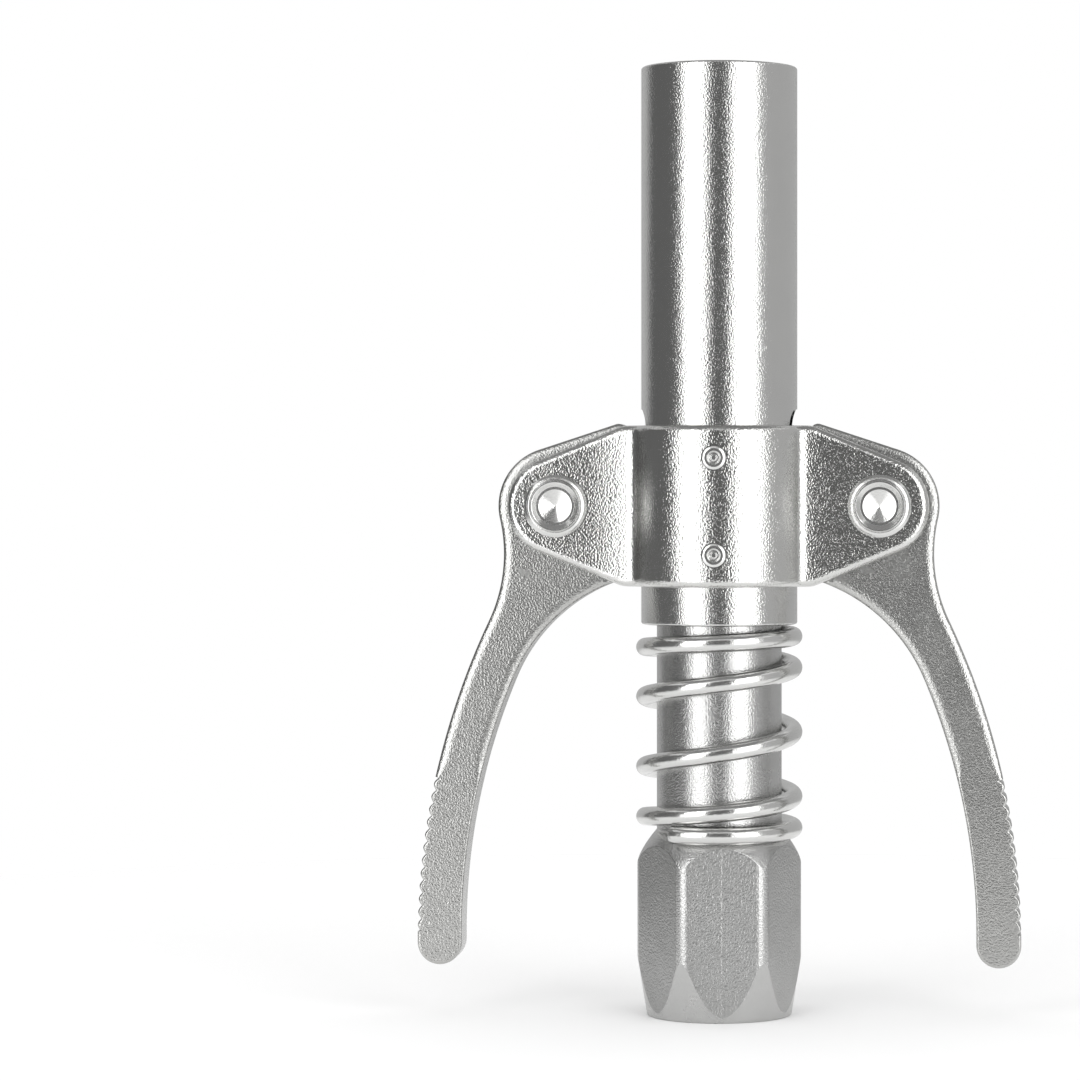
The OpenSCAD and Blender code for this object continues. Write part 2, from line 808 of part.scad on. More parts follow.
// Side view of the right lever round its pivot: toe, throat, grip, hollow, head and shoulder
module lever_outline() {
    toe_at = 180 + rest_drop;
    toe_c = toe_arm * dir(toe_at);
    below = toe_r * dir(toe_at + 90);
    above = toe_r * dir(toe_at - 90);
    corner = throat_c + throat_r * dir(throat_corner);
    root_low = toe_c * ((corner[0] - below[0]) / toe_c[0]) + below;
    root_high = toe_c * ((-shoulder_in - above[0]) / toe_c[0]) + above;
    polygon(concat(
        arc(toe_c, toe_r, toe_at - 90, toe_at + 90),
        [root_low],
        arc(throat_c, throat_r, throat_corner, throat_from),
        arc(grip_inner_c, grip_inner_r, throat_from, -grip_inner_lean),
        arc(grip_tip, tip_r, 180 - grip_inner_lean, 360 - grip_outer_lean),
        toothed_edge(),
        arc(neck_c, neck_r, neck_from + 180, head_from + 180),
        arc([0, 0], head_r, head_from, head_to),
        arc(shoulder_c, shoulder_r, head_to, 180),
        [root_high]
    ));
}

module lever() {
    color("#a9a9aa")
        difference() {
            translate([pivot_x, 0, pivot_z])
                stand(lever_t)
                    lever_outline();
            on_pivot(1)
                cylinder(r = rivet_d / 2 + rivet_gap, h = lever_t + 2 * past, center = true);
        }
}

module lever_right() {
    lever();
}

module lever_left() {
    mirror([1, 0, 0]) lever();
}

// Rivet through both ears: formed end with a dimple at -Y, domed head at +Y
module rivet(side) {
    shank_r = rivet_d / 2;
    end_r = rivet_end_d / 2;
    dimple_r = rivet_dimple_d / 2;
    end_y = -ear_out - rivet_end_h;
    rim_r = rivet_head_d / 2;
    dome_r = (pow(rim_r, 2) + pow(rivet_head_h, 2)) / (2 * rivet_head_h);
    dome_edge = acos(rim_r / dome_r);
    color("#cfcfd0")
        on_pivot(side)
            rotate_extrude()
                polygon(concat(
                    [
                        [0, end_y + rivet_dimple_h],
                        [dimple_r, end_y + rivet_dimple_wall],
                        [dimple_r, end_y + rivet_dimple_bevel],
                        [dimple_r + rivet_dimple_bevel, end_y],
                        [end_r - rivet_end_bevel, end_y],
                        [end_r, end_y + rivet_end_bevel],
                        [end_r, -ear_out],
                        [shank_r, -ear_out],
                        [shank_r, ear_out]
                    ],
                    arc([0, ear_out + rivet_head_h - dome_r], dome_r, dome_edge, 90)
                ));
}

module rivet_left() {
    rivet(-1);
}

module rivet_right() {
    rivet(1);
}

core_body();
valve_seat();
check_ball();
ball_spring();
return_spring();
jaw(1);  // jaw_1
jaw(2);  // jaw_2
jaw(3);  // jaw_3
jaw(4);  // jaw_4
jaw(5);  // jaw_5
jaw(6);  // jaw_6
jaw_ring();
seal();
seal_carrier();
seal_spring();
sleeve();
yoke_front();
yoke_rear();
yoke_pins();
lever_left();
lever_right();
rivet_left();
rivet_right();
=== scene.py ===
"""Looks of a quick grease coupler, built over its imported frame.

Six gripping jaws sit in a plated sleeve, and two squeeze levers on a riveted yoke draw the sleeve
back against a coil spring. Sizes are millimetres until a mesh is made, and metres from there on.
"""

from __future__ import annotations

import json
import logging
import math
from dataclasses import dataclass
from enum import Enum
from typing import Sequence

import bmesh
import bpy
import numpy as np
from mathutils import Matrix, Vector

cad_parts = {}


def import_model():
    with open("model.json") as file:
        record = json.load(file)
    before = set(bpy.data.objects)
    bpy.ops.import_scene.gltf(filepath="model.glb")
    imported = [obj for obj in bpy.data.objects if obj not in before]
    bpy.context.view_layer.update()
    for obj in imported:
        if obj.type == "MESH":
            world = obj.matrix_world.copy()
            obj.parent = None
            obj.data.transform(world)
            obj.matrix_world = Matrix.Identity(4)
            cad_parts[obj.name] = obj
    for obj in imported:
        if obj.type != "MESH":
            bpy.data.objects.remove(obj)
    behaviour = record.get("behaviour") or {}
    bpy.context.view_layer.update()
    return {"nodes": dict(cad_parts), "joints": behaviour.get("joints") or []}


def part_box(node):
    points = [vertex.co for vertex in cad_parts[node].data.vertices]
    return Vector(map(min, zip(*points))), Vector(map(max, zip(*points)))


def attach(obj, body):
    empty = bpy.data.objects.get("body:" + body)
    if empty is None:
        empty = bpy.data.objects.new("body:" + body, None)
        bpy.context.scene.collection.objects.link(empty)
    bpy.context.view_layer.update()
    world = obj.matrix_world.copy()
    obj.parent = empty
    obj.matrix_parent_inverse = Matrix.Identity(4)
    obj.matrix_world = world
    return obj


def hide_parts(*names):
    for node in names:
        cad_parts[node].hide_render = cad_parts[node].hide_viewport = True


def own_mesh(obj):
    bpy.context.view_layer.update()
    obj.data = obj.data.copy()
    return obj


LOG = logging.getLogger("grease_coupler")
MM = 0.001
WELD = 0.0002           # points closer than this become one
SUPPORT = 0.02          # how far from a rounded edge a flat gets one more row, to stay flat in shading
CUT_DEG = 38            # edges of a cut that turn by more than this are shaded crisp


class Side(Enum):
    """Which side of the axis a piece is on."""

    LEFT = -1
    RIGHT = 1


class Half(Enum):
    """Which half of the yoke a piece is: the front one faces -Y."""

    FRONT = 1
    REAR = -1


class Lay(Enum):
    """Which way the tool marks of a metal run; the value stretches the pattern along x, y and z."""

    NONE = (1.0, 1.0, 1.0)
    ALONG = (1.0, 1.0, 0.03)
    ROUND = (0.03, 0.03, 1.0)


@dataclass
class Skin:
    """A surface.

    Attributes:
        points: One row of x, y and z in millimetres for each point.
        faces: Arrays of polygons, each a row of point numbers.
    """

    points: np.ndarray
    faces: list[np.ndarray]

    def moved(self, turn: np.ndarray, shift: Sequence[float]) -> Skin:
        """The surface turned by a matrix and then shifted."""
        return Skin(self.points @ turn.T + np.asarray(shift, float), self.faces)


def unit(vectors: np.ndarray) -> np.ndarray:
    """Vectors divided by their lengths."""
    return vectors / np.linalg.norm(vectors, axis=-1, keepdims=True)


def polar(degrees: float) -> np.ndarray:
    """Unit vector at an angle."""
    return np.array([math.cos(math.radians(degrees)), math.sin(math.radians(degrees))])


def angle_of(vector: np.ndarray) -> float:
    """Angle of a vector in degrees."""
    return math.degrees(math.atan2(vector[1], vector[0]))


def smoothstep(low: float, high: float, values: np.ndarray) -> np.ndarray:
    """0 below low, 1 above high, and 3t^2 - 2t^3 between them."""
    share = np.clip((values - low) / (high - low), 0, 1)
    return share * share * (3 - 2 * share)


def arc(centre: np.ndarray, radius: float, start: float, end: float, spacing: float = 0.2) -> np.ndarray:
    """Points of a circular arc: centre plus radius times the unit vector at even angles.

    Args:
        centre: Centre of the circle.
        radius: Radius of the circle.
        start: First angle in degrees.
        end: Last angle in degrees.
        spacing: Largest distance between two points.

    Returns:
        One row of two coordinates for each point.
    """
    steps = max(2, math.ceil(abs(math.radians(end - start)) * radius / spacing))
    angles = np.radians(np.linspace(start, end, steps + 1))
    return centre + radius * np.stack([np.cos(angles), np.sin(angles)], -1)


def without_doubles(line: np.ndarray) -> np.ndarray:
    """A line without the points that repeat the one before."""
    step = np.linalg.norm(np.diff(line, axis=0, prepend=line[:1] - 1), axis=1)
    return line[step > WELD]


def rounded(corners: Sequence[tuple[float, float, float]], closed: bool, steps: int = 6) -> np.ndarray:
    """Outline whose corners are arcs.

    Each corner gives way to the arc of its radius that touches both of its sides, drawn by turning
    evenly from one touching point to the other, with one more point just outside each of the two.

    Args:
        corners: Two coordinates and a radius for each corner.
        closed: Whether the last corner is joined to the first. An open line keeps both its ends.
        steps: Number of steps in each arc.

    Returns:
        One row of two coordinates for each point.
    """
    table = np.array(corners, float)
    point, radius = table[:, :2], table[:, 2:]
    before = unit(np.roll(point, 1, 0) - point)
    after = unit(np.roll(point, -1, 0) - point)
    half = np.arccos(np.clip((before * after).sum(1, keepdims=True), -0.999999, 0.999999)) / 2
    reach = radius / np.tan(half)
    centre = point + unit(before + after + 1e-12) * radius / np.sin(half)
    sweep = (np.pi - 2 * half)[:, :, None]
    share = np.linspace(0, 1, steps + 1)[None, :, None]
    first = (point + before * reach - centre)[:, None]
    last = (point + after * reach - centre)[:, None]
    turned = (np.sin((1 - share) * sweep) * first + np.sin(share * sweep) * last) / np.sin(sweep)
    lead_in = (point + before * (reach + SUPPORT))[:, None]
    lead_out = (point + after * (reach + SUPPORT))[:, None]
    rows = np.concatenate([lead_in, centre[:, None] + turned, lead_out], 1)
    if closed:
        return without_doubles(rows.reshape(-1, 2))
    inner = rows[1:-1].reshape(-1, 2)
    return without_doubles(np.concatenate([point[:1], inner, point[-1:]]))


def grid_skin(points: np.ndarray, wrap_rows: bool = False, wrap_columns: bool = False) -> Skin:
    """Quads between the neighbours of a grid of points.

    Args:
        points: Rows and columns of x, y and z.
        wrap_rows: Whether the last row is joined to the first.
        wrap_columns: Whether the last column is joined to the first.

    Returns:
        The surface.
    """
    rows, columns = points.shape[:2]
    number = np.arange(rows * columns).reshape(rows, columns)
    number = np.concatenate([number, number[:1]], 0) if wrap_rows else number
    number = np.concatenate([number, number[:, :1]], 1) if wrap_columns else number
    quads = np.stack([number[:-1, :-1], number[:-1, 1:], number[1:, 1:], number[1:, :-1]], -1)
    return Skin(points.reshape(-1, 3), [quads.reshape(-1, 4)])


def join(*skins: Skin) -> Skin:
    """Puts several surfaces together.

    Args:
        *skins: The surfaces.

    Returns:
        One surface with the faces of all.
    """
    starts = np.cumsum([0] + [len(skin.points) for skin in skins])
    faces = [face + start for skin, start in zip(skins, starts) for face in skin.faces]
    return Skin(np.concatenate([skin.points for skin in skins]), faces)


def on_circles(radius: np.ndarray, angle: np.ndarray, height: np.ndarray) -> np.ndarray:
    """Points on circles round Z: x = r cos a, y = r sin a, z = h."""
    return np.stack([radius * np.cos(angle), radius * np.sin(angle), height + 0 * radius * angle], -1)


def revolve(profile: np.ndarray, columns: int, closed: bool) -> Skin:
    """A profile of radius and height carried round Z.

    Args:
        profile: Radius and height of each point.
        columns: Number of steps round the axis.
        closed: Whether the profile is a loop. An open one starts and ends on the axis.

    Returns:
        The surface.
    """
    angle = np.linspace(0, 2 * np.pi, columns, endpoint=False)
    return grid_skin(on_circles(profile[:, :1], angle, profile[:, 1:]), wrap_rows=closed, wrap_columns=True)


def stack_skin(loops: np.ndarray) -> Skin:
    """Walls between loops that follow one another, with a flat lid on the first and on the last.

    Args:
        loops: The loops, with the same number of points in each.

    Returns:
        The closed surface.
    """
    walls = grid_skin(loops, wrap_columns=True)
    lid = np.arange(loops.shape[1])[None]
    return Skin(walls.points, [*walls.faces, lid, lid + (len(loops) - 1) * loops.shape[1]])


def prism(outline: np.ndarray, axes: tuple[int, int, int], low: float, high: float) -> Skin:
    """An outline carried straight from low to high.

    Args:
        outline: Loop of two coordinates.
        axes: Which of x, y and z the two coordinates and the carrying run along.
        low: Where the carrying starts.
        high: Where it ends.

    Returns:
        The closed surface.
    """
    loops = np.zeros((2, len(outline), 3))
    loops[:, :, axes[0]] = outline[:, 0]
    loops[:, :, axes[1]] = outline[:, 1]
    loops[:, :, axes[2]] = np.array([[low], [high]])
    return stack_skin(loops)


def weld(mesh: bpy.types.Mesh) -> None:
    """Merges doubles and turns the faces outwards, so that the volume is above nought.

    Args:
        mesh: The mesh to mend.
    """
    form = bmesh.new()
    form.from_mesh(mesh)
    bmesh.ops.remove_doubles(form, verts=form.verts, dist=WELD * MM)
    bmesh.ops.recalc_face_normals(form, faces=form.faces)
    if form.calc_volume(signed=True) < 0:
        bmesh.ops.reverse_faces(form, faces=form.faces)
    form.to_mesh(mesh)
    form.free()


def make_piece(name: str, skin: Skin) -> bpy.types.Object:
    """Puts a surface into a new object, with doubles merged and the faces of a closed one turned outwards.

    Args:
        name: Name of the object.
        skin: The surface in millimetres.

    Returns:
        The object, at the origin.
    """
    mesh = bpy.data.meshes.new(name)
    faces = [row for face in skin.faces for row in face.tolist()]
    mesh.from_pydata((skin.points * MM).tolist(), [], faces)
    weld(mesh)
    mesh.shade_smooth()
    piece = bpy.data.objects.new(name, mesh)
    bpy.context.scene.collection.objects.link(piece)
    return piece


def cut(piece: bpy.types.Object, cutter: Skin) -> None:
    """Takes the volume of a closed surface out of a piece, and keeps the new edges crisp.

    Args:
        piece: The piece to cut.
        cutter: The surface in millimetres.
    """
    tool = make_piece(f"{piece.name}_cutter", cutter)
    modifier = piece.modifiers.new("cut", "BOOLEAN")
    modifier.operation = "DIFFERENCE"
    modifier.solver = "EXACT"
    modifier.object = tool
    shape = piece.evaluated_get(bpy.context.evaluated_depsgraph_get())
    mesh = bpy.data.meshes.new_from_object(shape)
    piece.modifiers.clear()
    old, piece.data = piece.data, mesh
    bpy.data.meshes.remove(old)
    bpy.data.meshes.remove(tool.data)
    weld(mesh)
    mesh.set_sharp_from_angle(angle=math.radians(CUT_DEG))


def linear(colour: str) -> tuple[float, float, float, float]:
    """Turns an sRGB colour to linear values.

    Args:
        colour: The colour in hex, with its hash sign.

    Returns:
        Red, green, blue and alpha.
    """
    values = [int(colour[i:i + 2], 16) / 255 for i in (1, 3, 5)]
    red, green, blue = [v / 12.92 if v <= 0.04045 else ((v + 0.055) / 1.055) ** 2.4 for v in values]
    return red, green, blue, 1.0


def add_node(tree: bpy.types.NodeTree, kind: str, inputs: dict, **settings: object) -> bpy.types.Node:
    """Adds a node to a tree.

    Args:
        tree: The node tree.
        kind: Type of the node.
        inputs: Value or linked socket for each named input.
        **settings: Properties of the node.

    Returns:
        The node.
    """
    node = tree.nodes.new(kind)
    for name, value in settings.items():
        setattr(node, name, value)
    for name, value in inputs.items():
        if isinstance(value, bpy.types.NodeSocket):
            tree.links.new(value, node.inputs[name])
        else:
            node.inputs[name].default_value = value
    return node


def new_material(name: str) -> bpy.types.Material:
    """Makes an empty node material.

    Args:
        name: Its name.

    Returns:
        The material.
    """
    material = bpy.data.materials.new(name)
    material.use_nodes = True
    material.node_tree.nodes.clear()
    return material


@dataclass(frozen=True)
class MetalFinish:
    """A metal with a fine grain, tool marks and light stains; its lengths are millimetres.

    Attributes:
        name: Common name of the metal and how its surface was made.
        colour: Colour of the clean metal.
        stained: Colour where it is dull.
        roughness: Roughness of the clean and of the dull metal.
        grain: Size of the grains.
        grain_rise: Height of the grains.
        lay: Which way the tool marks run.
        line: Spacing of the tool marks.
        line_rise: Height of the tool marks.
        stain: Size of the dull patches.
    """

    name: str
    colour: str
    stained: str
    roughness: tuple[float, float]
    grain: float
    grain_rise: float
    lay: Lay = Lay.NONE
    line: float = 0.3
    line_rise: float = 0.0
    stain: float = 6.0

    def material(self) -> bpy.types.Material:
        """The node material of this finish, made once.

        Returns:
            The material.
        """
        made = bpy.data.materials.get(self.name)
        if made:
            return made
        made = new_material(self.name)
        tree = made.node_tree
        place = add_node(tree, "ShaderNodeTexCoord", {}).outputs["Object"]
        stain = add_node(tree, "ShaderNodeTexNoise", {
            "Vector": place, "Scale": 1 / (self.stain * MM), "Detail": 4.0, "Roughness": 0.6})
        colour = add_node(tree, "ShaderNodeMixRGB", {
            "Fac": stain.outputs["Fac"], "Color1": linear(self.stained), "Color2": linear(self.colour)})
        rough = add_node(tree, "ShaderNodeMapRange", {
            "Value": stain.outputs["Fac"], "From Min": 0.3, "From Max": 0.7,
            "To Min": self.roughness[1], "To Max": self.roughness[0]})
        grain = add_node(tree, "ShaderNodeTexNoise", {
            "Vector": place, "Scale": 1 / (self.grain * MM), "Detail": 1.5, "Roughness": 0.5})
        bump = add_node(tree, "ShaderNodeBump", {
            "Height": grain.outputs["Fac"], "Strength": 1.0, "Distance": self.grain_rise * MM})
        if self.lay is not Lay.NONE:
            drawn = add_node(tree, "ShaderNodeMapping", {"Vector": place, "Scale": self.lay.value})
            line = add_node(tree, "ShaderNodeTexNoise", {
                "Vector": drawn.outputs["Vector"], "Scale": 1 / (self.line * MM), "Detail": 3.0,
                "Roughness": 0.6})
            bump = add_node(tree, "ShaderNodeBump", {
                "Height": line.outputs["Fac"], "Strength": 1.0, "Distance": self.line_rise * MM,
                "Normal": bump.outputs["Normal"]})
        shader = add_node(tree, "ShaderNodeBsdfPrincipled", {
            "Base Color": colour.outputs["Color"], "Metallic": 1.0, "Roughness": rough.outputs["Result"],
            "Normal": bump.outputs["Normal"]})
        add_node(tree, "ShaderNodeOutputMaterial", {"Surface": shader.outputs["BSDF"]})
        return made


@dataclass(frozen=True)
class RubberFinish:
    """Moulded rubber: dark, with a soft wide gloss and a fine skin; its lengths are millimetres.

    Attributes:
        name: Common name of the rubber and how it was made.
        colour: Colour of the clean rubber.
        dusty: Colour where it is worn or dusty.
        grain: Size of the pimples of the skin.
        grain_rise: Height of the pimples.
        roughness: Its roughness.
        ior: Its index of refraction.
    """

    name: str
    colour: str
    dusty: str
    grain: float
    grain_rise: float
    roughness: float = 0.62
    ior: float = 1.52

    def material(self) -> bpy.types.Material:
        """The node material of this finish, made once.

        Returns:
            The material.
        """
        made = bpy.data.materials.get(self.name)
        if made:
            return made
        made = new_material(self.name)
        tree = made.node_tree
        place = add_node(tree, "ShaderNodeTexCoord", {}).outputs["Object"]
        grain = add_node(tree, "ShaderNodeTexNoise", {
            "Vector": place, "Scale": 1 / (self.grain * MM), "Detail": 4.0, "Roughness": 0.6})
        colour = add_node(tree, "ShaderNodeMixRGB", {
            "Fac": grain.outputs["Fac"], "Color1": linear(self.colour), "Color2": linear(self.dusty)})
        bump = add_node(tree, "ShaderNodeBump", {
            "Height": grain.outputs["Fac"], "Strength": 1.0, "Distance": self.grain_rise * MM})
        shader = add_node(tree, "ShaderNodeBsdfPrincipled", {
            "Base Color": colour.outputs["Color"], "Roughness": self.roughness, "IOR": self.ior,
            "Normal": bump.outputs["Normal"]})
        add_node(tree, "ShaderNodeOutputMaterial", {"Surface": shader.outputs["BSDF"]})
        return made


# Most real grains and tool lines are finer than a tenth of a millimetre, too fine to show in the render.
# Such grains and lines are drawn here as coarse as they need to be to show.

# Drawn tube under bright zinc: mirror bands that break up into a fine sparkle at their edges
PLATED_TUBE = MetalFinish("zinc_plated_drawn_tube", "#dadad8", "#d0d0cf", (0.13, 0.17), 0.17, 0.038)
# Pressed sheet under bright zinc: as the tube, with a stronger sparkle on its flats
PLATED_SHEET = MetalFinish("zinc_plated_pressed_sheet", "#dcdcda", "#d2d2d0", (0.1, 0.14), 0.19, 0.05)
# Stamped and tumbled levers under zinc: an even satin grey with bright rounded edges
PLATED_LEVER = MetalFinish("zinc_plated_stamping", "#c0c0be", "#b6b6b4", (0.25, 0.29), 0.19, 0.042)
# Cold-formed rivets under zinc: brighter and smoother than the sheet
RIVET_STEEL = MetalFinish("zinc_plated_rivet", "#e0e0de", "#d6d6d5", (0.19, 0.23), 0.2, 0.014)
# Turned and ground bar: half bright, with fine lines along it
TURNED_STEEL = MetalFinish("turned_bar_steel", "#c8c8c7", "#b6b6b5", (0.24, 0.29), 0.19, 0.034,
                           Lay.ALONG, 0.16, 0.016)
# Flats of the bar as drawn through the die: matte grey with a fine grain
DRAWN_STEEL = MetalFinish("drawn_hexagon_steel", "#b8b8b7", "#a0a09f", (0.28, 0.36), 0.2, 0.058,
                          Lay.ALONG, 0.16, 0.016)
# Hard drawn spring wire under zinc: clean sharp highlights
SPRING_WIRE = MetalFinish("zinc_plated_spring_wire", "#e0e0de", "#d4d4d3", (0.17, 0.22), 0.3, 0.014)
# Turned and hardened jaws: even grey with fine rings from the lathe
JAW_STEEL = MetalFinish("turned_jaw_steel", "#d0d0ce", "#c0c0bf", (0.26, 0.34), 0.2, 0.024,
                        Lay.ROUND, 0.09, 0.01)
# Oiled spring wire: dark and half matte
RING_WIRE = MetalFinish("oiled_ring_wire", "#8a8a8b", "#6f6f70", (0.3, 0.4), 0.3, 0.01)
# Ground and polished bearing ball: a near mirror
BALL_STEEL = MetalFinish("polished_ball_steel", "#dededf", "#d6d6d7", (0.05, 0.08), 1.0, 0.0005)
# Turned brass: warm, with fine rings from the lathe
BRASS = MetalFinish("turned_brass", "#cda959", "#b8934a", (0.24, 0.34), 0.3, 0.006, Lay.ROUND, 0.12, 0.008)
# Moulded nitrile rubber: near black, matte, a little dusty
SEAL_RUBBER = RubberFinish("moulded_nitrile_rubber", "#242425", "#3a3a3b", 0.18, 0.02)


def dress(piece: bpy.types.Object, finish: MetalFinish | RubberFinish, body: str,
          node: str) -> None:
    """Gives a finished piece its material and its body, and hides the node that it stands for.

    Args:
        piece: The piece, at the origin.
        finish: Its finish.
        body: Body that it rides on.
        node: Node that it stands for.
    """
    piece.data.materials.clear()
    piece.data.materials.append(finish.material())
    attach(piece, body)
    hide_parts(node)
    LOG.info("%s rides on %s: %d faces", piece.name, body, len(piece.data.polygons))


def turned_round(columns: np.ndarray, rows: Sequence[tuple[np.ndarray, np.ndarray]]) -> np.ndarray:
    """Grid of points from rows of radius and height over the angles of the columns."""
    radius, height = (np.stack([row[i] + 0 * columns for row in rows]) for i in (0, 1))
    return on_circles(radius, columns, height)


@dataclass
class Core:
    """Hexagon with the hose thread, the round body, its neck and its collar: one turned piece."""

    flat_r: float = 7.5
    turned_r: float = 8.4
    end_r: float = 7.4
    taper_h: float = 6.0
    hex_h: float = 15.5
    cone_h: float = 3.5
    cone_bow: float = 1.5
    turn_deg: float = 36.0
    mark_deg: float = 276.0
    mark_depth: float = 0.018
    mark_half: float = 0.1
    body_r: float = 6.4
    body_top: float = 78.0
    neck_r: float = 3.6
    collar_r: float = 4.5
    collar_low: float = 83.9
    collar_top: float = 85.9
    guide_r: float = 1.55
    guide_low: float = 77.9
    passage_r: float = 1.2
    chamber_r: float = 2.6
    chamber_top: float = 22.0
    seat_r: float = 4.21
    seat_top: float = 11.5
    thread_r: float = 4.46
    thread_lead: float = 0.6
    thread_top: float = 9.5
    thread_pitch: float = 1.0
    thread_depth: float = 0.5
    thread_fade: float = 1.2
    thread_steps: int = 110
    edge: float = 0.12
    toe_z: float = 49.9
    toe_room: tuple[float, float] = (3.3, 8.0)
    toe_half_h: float = 1.72
    toe_flare: float = 0.194
    flare_from: float = 5.2
    slot_half: float = 3.2
    crisp_deg: float = 50.0
    flat_lean_deg: float = 8.0

    def corner(self) -> tuple[float, float, float]:
        """Finds the arc of a corner, which meets both flats and is as high as the turned size.

        Returns:
            Radius of the arc, distance of its centre from the axis, and its start in degrees from the
            middle of a flat.
        """
        lean = math.radians(30.0)
        tip = self.flat_r / math.cos(lean)
        radius = (tip - self.turned_r) / (1 / math.cos(lean) - 1)
        start = math.degrees(math.atan(math.tan(lean) * (1 - radius / self.flat_r)))
        return radius, tip - radius / math.cos(lean), start

    def columns(self) -> np.ndarray:
        """Angles of the grid columns, with narrow ones in the middle of each flat, where the mark may be.

        Returns:
            Angles over six flats and six round corners, in radians.
        """
        start = self.corner()[2]
        half = np.concatenate([[0, 0.5, 1.0, 1.5, 2.2], np.linspace(4.5, start - 0.5, 8), [start - 0.1],
                               np.linspace(start, 30.0, 7)])
        sixth = np.concatenate([-half[:0:-1], half])[1:]
        turns = self.turn_deg + 60.0 * np.arange(6)
        return np.radians((turns[:, None] + sixth[None]).ravel())

    def hexagon_rows(self, columns: np.ndarray) -> list[tuple[np.ndarray, np.ndarray]]:
        """Rows of the hexagon from its lower edge to the top of its cone.

        The middle radius is that of the flat, r = flat / cos a, and on a corner that of its arc, which is
        c cos b + sqrt(r^2 - (c sin b)^2) at the angle b from the corner, with c the distance of its centre.
        The lower cone is straight. The upper one is bowed: its radius falls by the width of the bevel times
        its share of the height to the power of the bow. The flats run out where the cones have that radius.
        A mark of the drawing die runs down one flat as a groove of depth times exp(-(x / half width)^2).

        Args:
            columns: Angles of the grid columns.

        Returns:
            Radius and height of each row.
        """
        sixth = np.radians(60.0)
        off_flat = (columns - math.radians(self.turn_deg) + sixth / 2) % sixth - sixth / 2
        off_mark = (columns - math.radians(self.mark_deg) + np.pi) % (2 * np.pi) - np.pi
        mark = self.mark_depth * np.exp(-(off_mark * self.flat_r / self.mark_half) ** 2)
        arc_r, centre, start = self.corner()
        off_corner = sixth / 2 - np.abs(off_flat)
        round_off = centre * np.cos(off_corner) + np.sqrt(
            np.maximum(arc_r ** 2 - (centre * np.sin(off_corner)) ** 2, 0))
        on_flat = np.abs(off_flat) <= math.radians(start)
        middle = np.where(on_flat, self.flat_r / np.cos(off_flat), round_off) - mark
        low_slope = (self.turned_r - self.end_r) / self.taper_h
        bevel_w = self.turned_r - self.body_r
        low = (middle - self.end_r) / low_slope
        share = np.maximum(self.turned_r - middle, 0) / bevel_w
        high = self.hex_h + self.cone_h * share ** (1 / self.cone_bow)
        top = self.hex_h + self.cone_h
        near = 0.05
        lower = [(self.end_r + low_slope * z, z) for z in (self.edge + (low - self.edge - near) * s
                                                           for s in (0.0, 0.1, 0.5, 1.0))]
        wall = [(middle, low + near), (middle, low + 2 * near)]
        wall += [(middle, low + (high - low) * s) for s in (0.25, 0.5, 0.75)]
        wall += [(middle, high - 2 * near), (middle, high - near)]
        upper = [(self.turned_r - bevel_w * ((z - self.hex_h) / self.cone_h) ** self.cone_bow, z)
                 for z in (high + (top - high) * s for s in (0.02, 0.15, 0.3, 0.5, 0.7, 0.85, 1.0))]
        return [*lower, (middle, low), *wall, (middle, high), *upper]

    def thread_rows(self, columns: np.ndarray) -> list[tuple[np.ndarray, np.ndarray]]:
        """Rows of the thread from its inner end to its mouth.

        The radius is the core radius plus the depth times a triangle wave of z / pitch - a / 2 pi,
        which climbs one pitch a turn, and the wave fades out at both ends.

        Args:
            columns: Angles of the grid columns.

        Returns:
            Radius and height of each row.
        """
        heights = np.linspace(self.thread_top - 0.05, self.thread_lead, self.thread_steps)
        wave = [np.abs(2 * ((z / self.thread_pitch - columns / (2 * np.pi)) % 1) - 1) for z in heights]
        fade = smoothstep(self.thread_top, self.thread_top - self.thread_fade, heights)
        fade = fade * smoothstep(0.0, self.thread_fade, heights)
        return [(self.thread_r + self.thread_depth * w * f, z) for w, f, z in zip(wave, fade, heights)]

    def build(self) -> bpy.types.Object:
        """Makes the body as one closed grid of columns round the axis and rows along its outline.

        Returns:
            The piece.
        """
        columns = self.columns()
        top = self.hex_h + self.cone_h
        turned = rounded([
            (self.body_r, top + 0.3, 0.0), (self.body_r, self.body_top, 0.3),
            (self.neck_r, self.body_top, 0.1), (self.neck_r, self.collar_low, 0.1),
            (self.collar_r, self.collar_low, 0.1), (self.collar_r, self.collar_top, 0.2),
            (self.guide_r, self.collar_top, 0.1), (self.guide_r, self.guide_low, 0.05),
            (self.passage_r, self.guide_low, 0.05), (self.passage_r, self.chamber_top, 0.05),
            (self.chamber_r, self.chamber_top, 0.1), (self.chamber_r, self.seat_top, 0.1),
            (self.seat_r, self.seat_top, 0.05), (self.seat_r, self.thread_top, 0.02),
            (self.thread_r, self.thread_top, 0.0)], closed=False)
        mouth_r = self.thread_r + self.thread_lead
        ends = [(mouth_r, 0.05), (mouth_r + 0.06, 0.0), (mouth_r + 0.2, 0.0), (self.end_r - 0.2, 0.0),
                (self.end_r - self.edge, 0.0), (self.end_r - self.edge * 0.3, self.edge * 0.3)]
        rows = self.hexagon_rows(columns) + [tuple(row) for row in turned] + self.thread_rows(columns) + ends
        piece = make_piece("core_hexagon", grid_skin(turned_round(columns, rows), True, True))
        flare = self.toe_half_h + (self.toe_room[1] - self.flare_from) * self.toe_flare
        for side in Side:
            near, bend, far = (side.value * x for x in (self.toe_room[0], self.flare_from, self.toe_room[1]))
            pocket = np.array([(near, -self.toe_half_h), (bend, -self.toe_half_h), (far, -flare),
                               (far, flare), (bend, self.toe_half_h), (near, self.toe_half_h)])
            cut(piece, prism(pocket + [0, self.toe_z], (0, 2, 1), -self.slot_half, self.slot_half))
